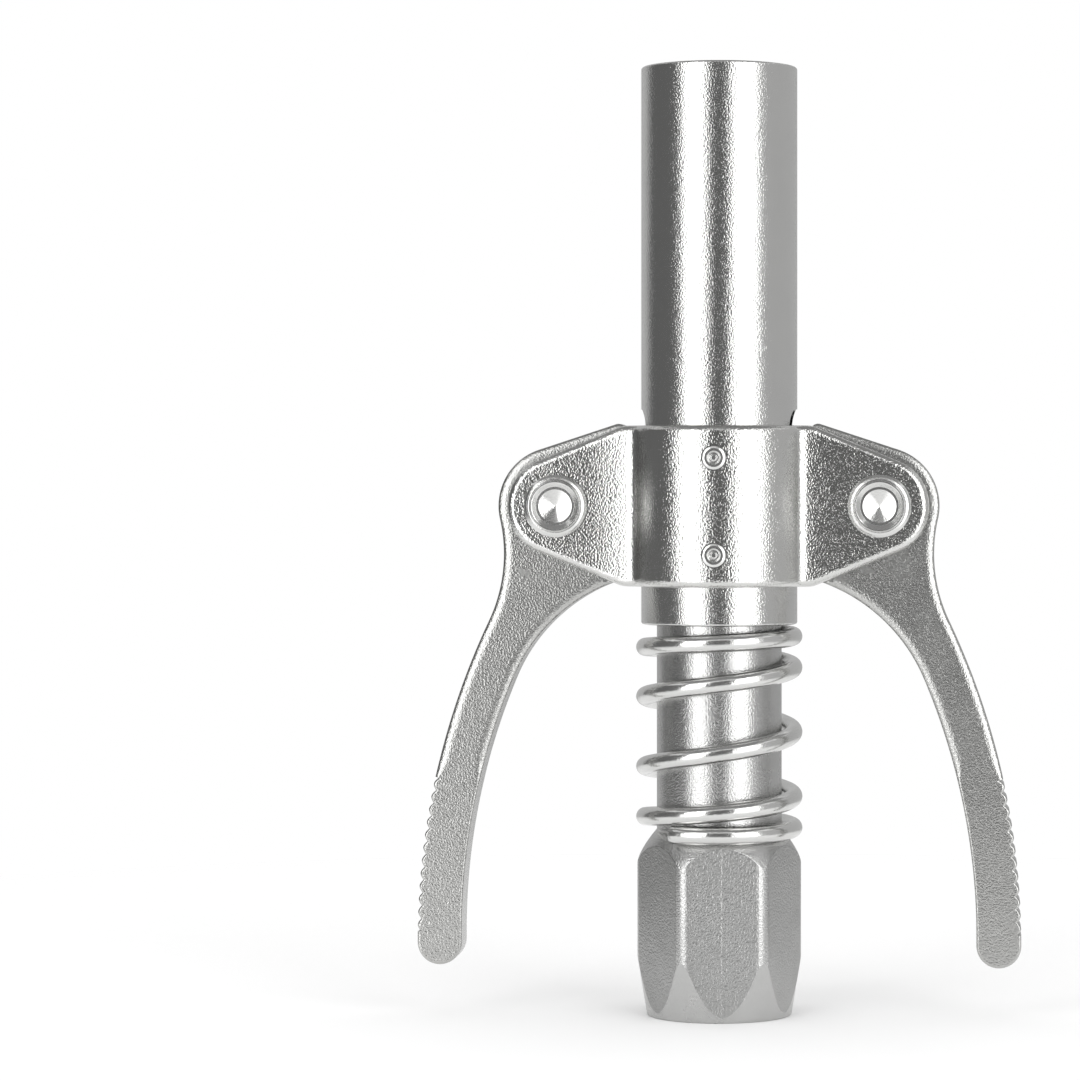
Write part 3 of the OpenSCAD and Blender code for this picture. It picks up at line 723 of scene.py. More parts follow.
        piece.data.set_sharp_from_angle(angle=math.radians(self.crisp_deg))
        return piece

    def dress(self) -> None:
        """Builds the piece, seats it on the core and gives its flats their own finish.

        A face belongs to a flat when it looks straight along the normal of one of the six flats.
        """
        piece = self.build()
        dress(piece, TURNED_STEEL, "core", "core_body")
        piece.data.materials.append(DRAWN_STEEL.material())
        count = len(piece.data.polygons)
        normal, centre = np.empty(3 * count), np.empty(3 * count)
        piece.data.polygons.foreach_get("normal", normal)
        piece.data.polygons.foreach_get("center", centre)
        normal, centre = normal.reshape(-1, 3), centre.reshape(-1, 3) / MM
        sixth = math.radians(60.0)
        off_flat = (np.arctan2(normal[:, 1], normal[:, 0]) - math.radians(self.turn_deg) + sixth / 2) % sixth
        on_flat = np.abs(off_flat - sixth / 2) < math.radians(self.flat_lean_deg)
        upright = np.abs(normal[:, 2]) < 0.02
        below_cone = centre[:, 2] < self.hex_h + self.cone_h
        outside = np.hypot(centre[:, 0], centre[:, 1]) > self.flat_r - 0.2
        drawn = on_flat & upright & below_cone & outside
        piece.data.polygons.foreach_set("material_index", drawn.astype(np.int32))


@dataclass
class Sleeve:
    """Plated tube with a wide mouth and two side slots for the lever toes."""

    radius: float
    low: float
    high: float
    pivot_z: float
    bore_r: float = 6.5
    mouth_r: float = 7.0
    mouth_depth: float = 6.5
    rim: float = 0.25
    slot_half: float = 3.2
    slot_above: float = 9.9
    slot_below: float = 5.6
    slot_corner: float = 1.9
    columns: int = 144

    def build(self) -> bpy.types.Object:
        """Makes the tube by carrying its wall section round the axis, and cuts the slots.

        Returns:
            The piece.
        """
        step = self.mouth_r - self.bore_r
        floor = self.high - self.mouth_depth
        section = rounded([
            (self.radius, self.low, self.rim), (self.radius, self.high, self.rim),
            (self.mouth_r, self.high, self.rim), (self.mouth_r, floor + step, 0.1),
            (self.bore_r, floor, 0.1), (self.bore_r, self.low, self.rim)], closed=True)
        piece = make_piece("sleeve_tube", revolve(section, self.columns, closed=True))
        slot_low, slot_high = self.pivot_z - self.slot_below, self.pivot_z + self.slot_above
        slot = rounded([
            (self.slot_half, slot_low, self.slot_corner), (self.slot_half, slot_high, self.slot_corner),
            (-self.slot_half, slot_high, self.slot_corner), (-self.slot_half, slot_low, self.slot_corner)],
            closed=True, steps=10)
        cut(piece, prism(slot, (1, 2, 0), -self.radius - 1, self.radius + 1))
        return piece

    def dress(self) -> None:
        """Builds the piece and seats it on the sleeve."""
        dress(self.build(), PLATED_TUBE, "sleeve", "sleeve")


@dataclass
class YokeHalf:
    """Pressed sheet that hugs half of the sleeve and ends in two ears for the lever rivets."""

    half: Half
    band_r: float
    pivot_x: float
    pivot_z: float
    sheet_t: float = 1.2
    ear_y: float = 3.55
    bend_r: float = 1.8
    half_h: float = 8.2
    ear_r: float = 5.0
    corner_r: float = 2.5
    outer_roll: float = 0.75
    inner_roll: float = 0.2
    rivet_r: float = 2.52
    pin_r: float = 1.29
    pin_rise: float = 4.9
    lift: float = 0.22
    lift_run: float = 5.5
    slant_steps: int = 18
    band_steps: int = 48
    face_rows: int = 25
    face_in: float = 0.06
    hole_reach: tuple[float, float] = (-1.0, 20.0)
    rivet_columns: int = 48
    pin_columns: int = 40

    def __post_init__(self) -> None:
        """Works out where the band, the bend and the ear meet, on the sheet laid flat."""
        self.bend_y = self.ear_y + self.bend_r
        self.bend_x = math.sqrt((self.band_r + self.bend_r) ** 2 - self.bend_y ** 2)
        self.wrap = math.atan2(self.bend_x, self.bend_y)
        self.band_run = self.band_r * self.wrap
        self.bend_run = self.band_run + self.bend_r * self.wrap

    def bent(self, flat: np.ndarray) -> np.ndarray:
        """Bends the sheet: run along the outer face, depth below it and height become x, y and z.

        The band is a circle round the axis, the bend a circle round a line outside the sheet that
        touches the band, and the ear runs straight on from there. Towards the bend the ear rises by
        lift times (1 - t)^3, and the bend takes the rise back by a cubic with the same slope.

        Args:
            flat: Run, depth and height.

        Returns:
            Points in x, y and z.
        """
        run, depth, height = np.moveaxis(flat, -1, 0)
        far = np.abs(run)
        turn = far / self.band_r
        fold = np.pi / 2 + self.wrap - (far - self.band_run) / self.bend_r
        x = np.where(far <= self.band_run, (self.band_r - depth) * np.sin(turn),
                     np.where(far <= self.bend_run, self.bend_x + (self.bend_r + depth) * np.cos(fold),
                              self.bend_x + far - self.bend_run))
        y = np.where(far <= self.band_run, -(self.band_r - depth) * np.cos(turn),
                     np.where(far <= self.bend_run, (self.bend_r + depth) * np.sin(fold) - self.bend_y,
                              depth - self.ear_y))
        folded = np.clip((far - self.band_run) / (self.bend_run - self.band_run), 0, 1)
        rest = np.clip(1 - (far - self.bend_run) / self.lift_run, 0, 1)
        slope = 3 * (self.bend_run - self.band_run) / self.lift_run
        rise = np.where(far < self.bend_run,
                        folded ** 2 * (3 - 2 * folded) + slope * folded ** 2 * (1 - folded), rest ** 3)
        y = self.half.value * (y - self.lift * rise)
        return np.stack([np.sign(run) * x, y, height + self.pivot_z], -1)

    def outline(self) -> np.ndarray:
        """Upper edge of the flat sheet from the right tip to the left one.

        It is the arc of the ear, a slant that touches it, a rounded corner and the straight edge of the
        band. The slant and the band have points between their ends, because the sheet is bent there.

        Returns:
            Run and height of each point.
        """
        pivot = np.array([self.bend_run + self.pivot_x - self.bend_x, 0.0])
        corner = np.array([self.bend_run, self.half_h])
        away = corner - pivot
        tangent = angle_of(away) - math.degrees(math.acos(self.ear_r / np.linalg.norm(away)))
        ear = arc(pivot, self.ear_r, 0, tangent)
        blend = rounded([(*ear[-1], 0), (*corner, self.corner_r), (0, self.half_h, 0)], closed=False)
        slant = np.linspace(ear[-1], blend[1], self.slant_steps)
        straight = np.linspace(blend[-2], blend[-1], self.band_steps)
        side = without_doubles(np.concatenate([ear, slant, blend[1:-1], straight]))
        return np.concatenate([side, side[-2::-1] * [-1, 1]])

    def build(self) -> bpy.types.Object:
        """Makes the sheet: its edge is carried round the outline, and rows join its two long sides.

        The edge runs from the outer face over a wide rolled edge and the cut to a small inner edge.

        Returns:
            The piece.
        """
        edge = self.outline()
        normal = unit(np.gradient(edge, axis=0))[:, ::-1] * [1, -1]
        normal = normal * np.sign(normal[len(normal) // 2, 1])
        normal[0], normal[-1] = (1, 0), (-1, 0)
        turn = np.linspace(0, np.pi / 2, 9)
        inset = np.concatenate([[self.outer_roll + self.face_in], self.outer_roll * (1 - np.sin(turn)),
                                self.inner_roll * (1 - np.cos(turn[::2])), [self.inner_roll + self.face_in]])
        depth = np.concatenate([[0], self.outer_roll * (1 - np.cos(turn)),
                                self.sheet_t - self.inner_roll * (1 - np.sin(turn[::2])), [self.sheet_t]])
        upper = edge[None] - normal[None] * inset[:, None, None]
        upper = np.stack([upper[..., 0], depth[:, None] + 0 * upper[..., 0], upper[..., 1]], -1)
        lower = upper * [1, 1, -1]
        rim = grid_skin(np.concatenate([upper, lower[:, -2:0:-1]], 1), wrap_columns=True)
        share = np.linspace(0, 1, self.face_rows)[:, None, None]
        faces = [grid_skin(lower[row] + (upper[row] - lower[row]) * share) for row in (0, -1)]
        flat = join(rim, *faces)
        piece = make_piece(f"yoke_{self.half.name.lower()}_sheet", Skin(self.bent(flat.points), flat.faces))
        near, far = self.hole_reach
        hole = rounded([(0, near, 0), (self.rivet_r, near, 0), (self.rivet_r, far, 0), (0, far, 0)],
                       closed=False)
        along = np.array([[1, 0, 0], [0, 0, -self.half.value], [0, 1, 0]], float)
        for side in Side:
            place = (side.value * self.pivot_x, 0, self.pivot_z)
            cut(piece, revolve(hole, self.rivet_columns, closed=False).moved(along, place))
        pin = hole * [self.pin_r / self.rivet_r, 1]
        for step in (-1, 1):
            place = (0, 0, self.pivot_z + step * self.pin_rise)
            cut(piece, revolve(pin, self.pin_columns, closed=False).moved(along, place))
        return piece

    def dress(self) -> None:
        """Builds the piece and seats it on the sleeve."""
        dress(self.build(), PLATED_SHEET, "sleeve", f"yoke_{self.half.name.lower()}")


@dataclass
class YokePins:
    """Four pins through the bands, with a stamped ring on their heads.

    The bevel of a head is given by width and depth, and the ring by radius and depth of its corners.
    """

    band_r: float
    pivot_z: float
    root_r: float = 8.02
    radius: float = 1.25
    crown: float = 0.15
    rise: float = 4.9
    bevel: tuple[float, float] = (0.3, 0.12)
    stamp: tuple[tuple[float, float], ...] = ((0.66, 0.0), (0.56, 0.14), (0.36, 0.12), (0.24, 0.02))
    stamp_round: float = 0.08

    def dress(self) -> None:
        """Carries the section of a pin round its axis, sets four of them and seats them on the sleeve."""
        top = self.band_r + self.crown
        section = rounded([
            (0, self.root_r, 0), (self.radius, self.root_r, 0.02), (self.radius, top - self.bevel[1], 0.2),
            (self.radius - self.bevel[0], top, 0.1),
            *((r, top - deep, self.stamp_round) for r, deep in self.stamp),
            (0, top - self.stamp[-1][1], 0)], closed=False)
        pin = revolve(section, 48, closed=False)
        pins = [pin.moved(np.array([[1, 0, 0], [0, 0, -half.value], [0, 1, 0]], float),
                          (0, 0, self.pivot_z + step * self.rise)) for half in Half for step in (-1, 1)]
        dress(make_piece("yoke_pin_heads", join(*pins)), RIVET_STEEL, "sleeve", "yoke_pins")


@dataclass
class SqueezeLever:
    """Stamped lever: a head on the rivet, a toe that enters the sleeve, and a grip with a toothed edge."""

    side: Side
    pivot_x: float
    pivot_z: float
    half_t: float
    hole_r: float = 2.55
    head_r: float = 6.05
    toe_arm: float = 11.3
    toe_deg: float = 191.0
    toe_r: float = 1.6
    shoulder_in: float = 7.1
    shoulder_rise: float = 8.4
    shoulder_r: float = 0.8
    tip: tuple[float, float] = (12.08, -44.7)
    tip_r: float = 2.28
    outer_r: float = 76.4
    outer_lean: float = 0.23
    inner_r: float = 67.5
    inner_lean: float = 0.66
    throat_r: float = 17.75
    throat_from: float = 22.95
    throat_to: float = 70.0
    neck_r: float = 16.0
    teeth: int = 12
    tooth_pitch: float = 1.33
    tooth_depth: float = 0.35
    tooth_start: float = 1.1
    roll: float = 1.0
    roll_deep: float = 0.4
    grip_roll: float = 0.26
    roll_fade: tuple[float, float] = (-1.0, 2.0)
    face_in: float = 0.05
    edge_in: float = 0.002

    def outline(self) -> tuple[np.ndarray, np.ndarray]:
        """Edge of the lever round its pivot, a chain of arcs: toe, throat, grip, tip, hollow, head, shoulder.

        The teeth are scallops: depth times 1 - sin(pi f) below the edge, where f runs from 0 to 1 on each.

        Returns:
            Points of the edge, and how far the teeth cut in at each.
        """
        tip = np.array(self.tip)
        outer_c = tip + (self.outer_r - self.tip_r) * polar(180 - self.outer_lean)
        inner_c = tip + (self.inner_r + self.tip_r) * polar(180 - self.inner_lean)
        throat_c = inner_c + (self.inner_r - self.throat_r) * polar(self.throat_from)
        reach, far = self.head_r + self.neck_r, np.linalg.norm(outer_c)
        along = (far ** 2 + reach ** 2 - (self.outer_r + self.neck_r) ** 2) / (2 * far * reach)
        neck_c = reach * polar(angle_of(outer_c) + math.degrees(math.acos(along)))
        neck_from, head_from = angle_of(neck_c - outer_c), angle_of(neck_c)
        shoulder_c = np.array([self.shoulder_r - self.shoulder_in, self.shoulder_rise - self.shoulder_r])
        lean = math.acos((self.head_r - self.shoulder_r) / np.linalg.norm(shoulder_c))
        head_to = angle_of(shoulder_c) - math.degrees(lean)
        toe_c = self.toe_arm * polar(self.toe_deg)
        below, above = self.toe_r * polar(self.toe_deg + 90), self.toe_r * polar(self.toe_deg - 90)
        corner = throat_c + self.throat_r * polar(self.throat_to)
        root_low = toe_c * ((corner[0] - below[0]) / toe_c[0]) + below
        root_high = toe_c * ((-self.shoulder_in - above[0]) / toe_c[0]) + above
        origin = np.zeros(2)
        edge = without_doubles(np.concatenate([
            arc(toe_c, self.toe_r, self.toe_deg - 90, self.toe_deg + 90), [root_low],
            arc(throat_c, self.throat_r, self.throat_to, self.throat_from, 0.3),
            arc(inner_c, self.inner_r, self.throat_from, -self.inner_lean, 0.3),
            arc(tip, self.tip_r, 180 - self.inner_lean, 360 - self.outer_lean, 0.12),
            arc(outer_c, self.outer_r, -self.outer_lean, neck_from, 0.06),
            arc(neck_c, self.neck_r, neck_from + 180, head_from + 180),
            arc(origin, self.head_r, head_from, head_to),
            arc(shoulder_c, self.shoulder_r, head_to, 180, 0.08), [root_high]]))
        off = edge - outer_c
        run = np.arctan2(off[:, 1], off[:, 0]) + math.radians(self.outer_lean)
        tooth = (run * self.outer_r - self.tooth_start) / self.tooth_pitch
        on_edge = np.abs(np.linalg.norm(off, axis=1) - self.outer_r) < 1e-6
        on_edge &= (tooth > 0) & (tooth < self.teeth)
        return edge, np.where(on_edge, self.tooth_depth * (1 - np.sin(np.pi * (tooth % 1))), 0)

    def build(self) -> bpy.types.Object:
        """Makes the lever: its outline is carried over a rolled edge, the side wall and a second rolled edge.

        Returns:
            The piece.
        """
        edge, tooth = self.outline()
        tangent = unit(np.roll(edge, -1, 0) - np.roll(edge, 1, 0))
        normal = np.stack([tangent[:, 1], -tangent[:, 0]], -1)
        area = (edge[:, 0] * np.roll(edge[:, 1], -1) - edge[:, 1] * np.roll(edge[:, 0], -1)).sum()
        normal = normal * np.sign(area)
        above_teeth = self.tip[1] + self.tooth_start + self.teeth * self.tooth_pitch
        worn = smoothstep(*(above_teeth + z for z in self.roll_fade), edge[:, 1])
        wide = self.grip_roll + (self.roll - self.grip_roll) * worn
        deep = self.grip_roll + (self.roll_deep - self.grip_roll) * worn
        turn = np.linspace(0, np.pi / 2, 10)[:, None]
        inset = np.concatenate([wide[None] + self.face_in, wide * (1 - np.sin(turn))]) + tooth + self.edge_in
        depth = np.concatenate([0 * deep[None], deep * (1 - np.cos(turn))]) - self.half_t
        flat = edge[None] - normal[None] * inset[..., None]
        x = self.side.value * (flat[..., 0] + self.pivot_x)
        front = np.stack([x, depth, flat[..., 1] + self.pivot_z], -1)
        skin = stack_skin(np.concatenate([front, front[::-1] * [1, -1, 1]]))
        piece = make_piece(f"lever_{self.side.name.lower()}_stamping", skin)
        reach = self.half_t + 1
        hole = arc(np.array([self.side.value * self.pivot_x, self.pivot_z]), self.hole_r, 0, 360, 0.3)[:-1]
        cut(piece, prism(hole, (0, 2, 1), -reach, reach))
        return piece

    def dress(self) -> None:
        """Builds the piece and seats it on its lever."""
        name = f"lever_{self.side.name.lower()}"
        dress(self.build(), PLATED_LEVER, name, name)


@dataclass
class Rivet:
    """Lever pivot: a formed end with a coned dimple in front, a shank, and a domed head behind.

    The tip of the dimple is given by radius and height, its ledge by two radii, and each corner of the
    rings round it by radius, depth and rounding.
    """

    side: Side
    pivot_x: float
    pivot_z: float
    ear_y: float = 3.55
    shank_r: float = 2.5
    end_r: float = 3.2
    end_h: float = 0.95
    end_drop: float = 0.5
    dimple_h: float = 0.93
    tip: tuple[float, float] = (0.1, 0.034)
    ledge_h: float = 0.37
    ledge: tuple[float, float] = (1.7, 1.96)
    rings: tuple[tuple[float, float, float], ...] = (
        (2.33, 0.06, 0.05), (2.42, 0.0, 0.04), (2.55, 0.0, 0.05), (2.66, 0.16, 0.03), (2.74, 0.17, 0.03),
        (2.95, 0.27, 0.08))
    head_r: float = 4.4
    head_h: float = 1.9
    head_edge: float = 0.12
    columns: int = 72

    def dress(self) -> None:
        """Carries the section of the rivet round its axis and seats it on the sleeve."""
        end = -self.ear_y - self.end_h
        dome_r = (self.head_r ** 2 + self.head_h ** 2) / (2 * self.head_h)
        dome_c = np.array([0.0, self.ear_y + self.head_h - dome_r])
        dome = arc(dome_c, dome_r, math.degrees(math.acos((self.head_r - self.head_edge) / dome_r)), 90)
        formed = rounded([
            (0, end + self.dimple_h, 0), (self.tip[0], end + self.dimple_h - self.tip[1], 0.02),
            *((r, end + self.ledge_h, 0.03) for r in self.ledge),
            *((r, end + deep, bend) for r, deep, bend in self.rings),
            (self.end_r, end + self.end_drop, 0.12), (self.end_r, -self.ear_y, 0.05),
            (self.shank_r, -self.ear_y, 0.05), (self.shank_r, self.ear_y, 0.05),
            (self.head_r, self.ear_y, 0.1), (dome[0][0], dome[0][1], 0)], closed=False)
        section = without_doubles(np.concatenate([formed[:-1], dome]))
        along = np.array([[1, 0, 0], [0, 0, 1], [0, -1, 0]], float)
        place = (self.side.value * self.pivot_x, 0, self.pivot_z)
        skin = revolve(section, self.columns, closed=False).moved(along, place)
        name = f"rivet_{self.side.name.lower()}"
        dress(make_piece(f"{name}_formed", skin), RIVET_STEEL, "sleeve", name)


@dataclass
class Coil:
    """Coiled spring whose coils close up towards both ends, squeezed by a joint."""

    name: str
    node: str
    joint: str
    finish: MetalFinish
    mean_r: float
    wire_r: float
    turns: float
    ramp: float
    start_deg: float
    travel: float
    held_at_top: bool
    sides: int = 24
    steps: int = 72
    end_bevel: float = 0.12

    def dress(self) -> None:
        """Carries a round wire along the coil and seats it on the core.

        The pitch grows evenly from nothing over the first ramp turns and falls to nothing over the last,
        and each wire section leans by the climb of the coil. The cut ends are chamfered and closed.
        """
        low, high = (corner.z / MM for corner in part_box(self.node))
        rise = high - low - 2 * self.wire_r
        chamfer = self.end_bevel * self.wire_r / (2 * np.pi * self.mean_r)
        run = np.linspace(chamfer, self.turns - chamfer, round(self.turns * self.steps))
        run = np.concatenate([[0, 0], run, [self.turns, self.turns]])[:, None]
        cut_end = 1 - self.end_bevel
        wide = np.concatenate([[0, cut_end], np.ones(len(run) - 4), [cut_end, 0]])[:, None] * self.wire_r
        pitch = rise / (self.turns - self.ramp)
        left = self.turns - run
        height = np.where(run < self.ramp, pitch * run ** 2 / (2 * self.ramp),
                          np.where(left < self.ramp, rise - pitch * left ** 2 / (2 * self.ramp),
                                   pitch * (run - self.ramp / 2)))
        slope = pitch * np.minimum(1, np.minimum(run, left) / self.ramp)
        climb = np.arctan2(slope, 2 * np.pi * self.mean_r)
        angle = np.radians(self.start_deg) + 2 * np.pi * run
        round_wire = np.linspace(0, 2 * np.pi, self.sides, endpoint=False)
        out = self.mean_r + wide * np.cos(round_wire)
        up = wide * np.sin(round_wire)
        points = np.stack([out * np.cos(angle) + up * np.sin(angle) * np.sin(climb),
                           out * np.sin(angle) - up * np.cos(angle) * np.sin(climb),
                           low + self.wire_r + height + up * np.cos(climb)], -1)
        piece = make_piece(self.name, grid_skin(points, wrap_columns=True))
        dress(piece, self.finish, "core", self.node)
        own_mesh(piece)


@dataclass
class Jaws:
    """Six gripping jaws cut from one turned ring."""

    low: float
    high: float
    count: int = 6
    split: float = 0.2
    crisp_deg: float = 42.0
    hook_r: float = 3.8
    body_r: float = 5.6
    cam_r: float = 6.3
    waist_r: float = 5.85
    land_r: float = 6.05
    land_h: float = 2.8
    cam_back: float = 6.6
    cam_h: float = 2.0
    funnel_r: float = 5.6
    funnel_h: float = 1.0
    lip_r: float = 2.7
    lip_t: float = 0.5
    bore_r: float = 3.55
    collar_room_r: float = 4.7
    hook_h: float = 5.3
    collar_room_h: float = 2.6
    groove_floor_r: float = 4.75
    groove_rise: float = 1.9
    groove_half: float = 0.55
    ring_pitch: float = 0.27
    ring_depth: float = 0.1
    land_bevel: float = 0.4
    front_bevel: float = 0.45
    lip_bevel: float = 0.2
    plain: tuple[float, float] = (0.1, 0.15)

    def section(self) -> np.ndarray:
        """Section of the ring as radius and height.

        Lathe grooves run over the waist behind the land, with a plain strip at each end.

        Returns:
            Points of a closed loop.
        """
        front, heel = self.high, self.low
        land_low = front - self.land_h
        cam_high = front - self.cam_back
        cam_low = cam_high - self.cam_h
        ring_z = heel + self.groove_rise
        waist_low = cam_high + self.cam_r - self.waist_r + self.plain[0]
        rings = round((land_low - self.land_bevel - self.plain[1] - waist_low) / self.ring_pitch)
        waist = [(self.waist_r - self.ring_depth * (i % 2), waist_low + self.ring_pitch * i / 2, 0)
                 for i in range(2 * rings + 1)]
        lip_low = front - self.funnel_h - self.lip_t
        room_top = heel + self.hook_h + self.collar_room_h
        groove_low, groove_high = ring_z - self.groove_half, ring_z + self.groove_half
        funnel_low = front - self.funnel_h
        return rounded([
            (self.hook_r, heel, 0.1), (self.body_r, heel, 0.2), (self.body_r, groove_low, 0.06),
            (self.groove_floor_r, groove_low, 0.1), (self.groove_floor_r, groove_high, 0.1),
            (self.body_r, groove_high, 0.06), (self.body_r, cam_low - self.cam_r + self.body_r, 0.2),
            (self.cam_r, cam_low, 0.2), (self.cam_r, cam_high, 0.2), *waist,
            (self.waist_r, land_low - self.land_bevel, 0.1), (self.land_r, land_low, 0.12),
            (self.land_r, front - self.front_bevel, 0.35), (self.funnel_r, front, 0.3),
            (self.lip_r + self.lip_bevel, funnel_low, 0.1), (self.lip_r, funnel_low - self.lip_bevel, 0.08),
            (self.lip_r, lip_low, 0.06), (self.bore_r, lip_low, 0.1), (self.bore_r, room_top, 0.06),
            (self.collar_room_r, room_top, 0.1), (self.collar_room_r, heel + self.hook_h, 0.1),
            (self.hook_r, heel + self.hook_h, 0.06)], closed=True, steps=4)

    def dress(self) -> None:
        """Carries the section over a sixth of a turn for each jaw, with flat sides half a split from the cut.

        The angle at share s and radius r is s times 30 degrees less the arc sine of split / 2r.
        """
        section = self.section()
        share = np.concatenate([[-1, -0.985], np.linspace(-0.93, 0.93, 15), [0.985, 1]])
        radius, height = section[:, :1], section[:, 1:]
        spread = math.pi / self.count - np.arcsin(self.split / 2 / radius)
        rows = len(section)
        lid = np.arange(rows)[None] * len(share)
        for i in range(self.count):
            angle = 2 * math.pi * i / self.count + spread * share
            skin = grid_skin(on_circles(radius, angle, height), wrap_rows=True)
            skin.faces += [lid, lid + len(share) - 1]
            piece = make_piece(f"jaw_{i + 1}_turned", skin)
            piece.data.set_sharp_from_angle(angle=math.radians(self.crisp_deg))
            dress(piece, JAW_STEEL, f"jaw_{i + 1}", f"jaw_{i + 1}")


@dataclass
class Seal:
    """Rubber seal behind the lips, with a torn-looking hole and a raised ring round it.

    The ring is given by its width at the top and at its foot, and each wave of the hole by its height, its
    count round the hole and its start in radians.
    """

    low: float
    high: float
    radius: float = 2.9
    hole_r: float = 1.1
    ring_h: float = 0.08
    ring: tuple[float, float] = (0.5, 0.75)
    fade: tuple[float, float] = (0.1, 0.7)
    waves: tuple[tuple[float, int, float], ...] = ((0.09, 3, 0.6), (0.06, 8, 0.0), (0.04, 13, 2.0))

    def dress(self) -> None:
        """Carries the section round the axis and seats it.

        The hole's radius is its mean plus sine waves of the angle, and this wobble fades outwards.
        """
        top, face = self.high, self.high - self.ring_h
        section = rounded([
            (self.hole_r, self.low, 0.05), (self.radius, self.low, 0.12), (self.radius, face, 0.2),
            (self.hole_r + self.ring[1], face, 0.08), (self.hole_r + self.ring[0], top, 0.08),
            (self.hole_r, top, 0.12)], closed=True)
        angle = np.linspace(0, 2 * np.pi, 120, endpoint=False)
        wobble = sum(tall * np.sin(count * angle + start) for tall, count, start in self.waves)
        radius, height = section[:, :1], section[:, 1:]
        radius = radius + wobble * (1 - smoothstep(*(self.hole_r + r for r in self.fade), radius))
        piece = make_piece("seal_moulded", grid_skin(on_circles(radius, angle, height), True, True))
        dress(piece, SEAL_RUBBER, "seal", "seal")


@dataclass
class CheckBall:
    """Ground ball of the check valve."""

    low: float
    high: float

    def dress(self) -> None:
        """Carries a half circle round the axis and seats the ball on its own body."""
        radius = (self.high - self.low) / 2
        half = arc(np.array([0.0, self.low + radius]), radius, -90, 90, 0.12)
        piece = make_piece("check_ball_ground", revolve(half, 72, closed=False))
        dress(piece, BALL_STEEL, "ball", "check_ball")


@dataclass
class InnerPieces:
    """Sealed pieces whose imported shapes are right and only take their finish."""

    nodes: dict[str, bpy.types.Object]

    def dress(self) -> None:
        """Gives each piece its finish."""
        finishes = {"valve_seat": BRASS, "jaw_ring": RING_WIRE, "seal_carrier": TURNED_STEEL}
        for name, finish in finishes.items():
            node = self.nodes[name]
            node.data.materials.clear()
            node.data.materials.append(finish.material())
            LOG.info("%s keeps its packed shape", name)


@dataclass(frozen=True)
class Card:
    """Curved grey card, from start to end in degrees from the camera to its right."""

    name: str
    start: float
    end: float
    colour: str


@dataclass(frozen=True)
class SoftBox:
    """Tall soft box, with its place in degrees from the camera to its right, its width and its power."""

    name: str
    degrees: float
    width: float
    watts: float


# Dark beside the camera and on the left, so that round metal shows dark strips between its bright bands
CARDS = (Card("card_camera", -21, 19.5, "#686868"), Card("card_left", -128, -54, "#6c6c6c"),
         Card("card_right", 57, 172, "#bebebe"), Card("card_behind", 172, 232, "#c2c2c2"))
# Two bright bands on round metal, one on each side of the dark middle strip
SOFT_BOXES = (SoftBox("soft_box_left", -37.5, 400.0, 2.38), SoftBox("soft_box_right", 38.0, 450.0, 2.7))


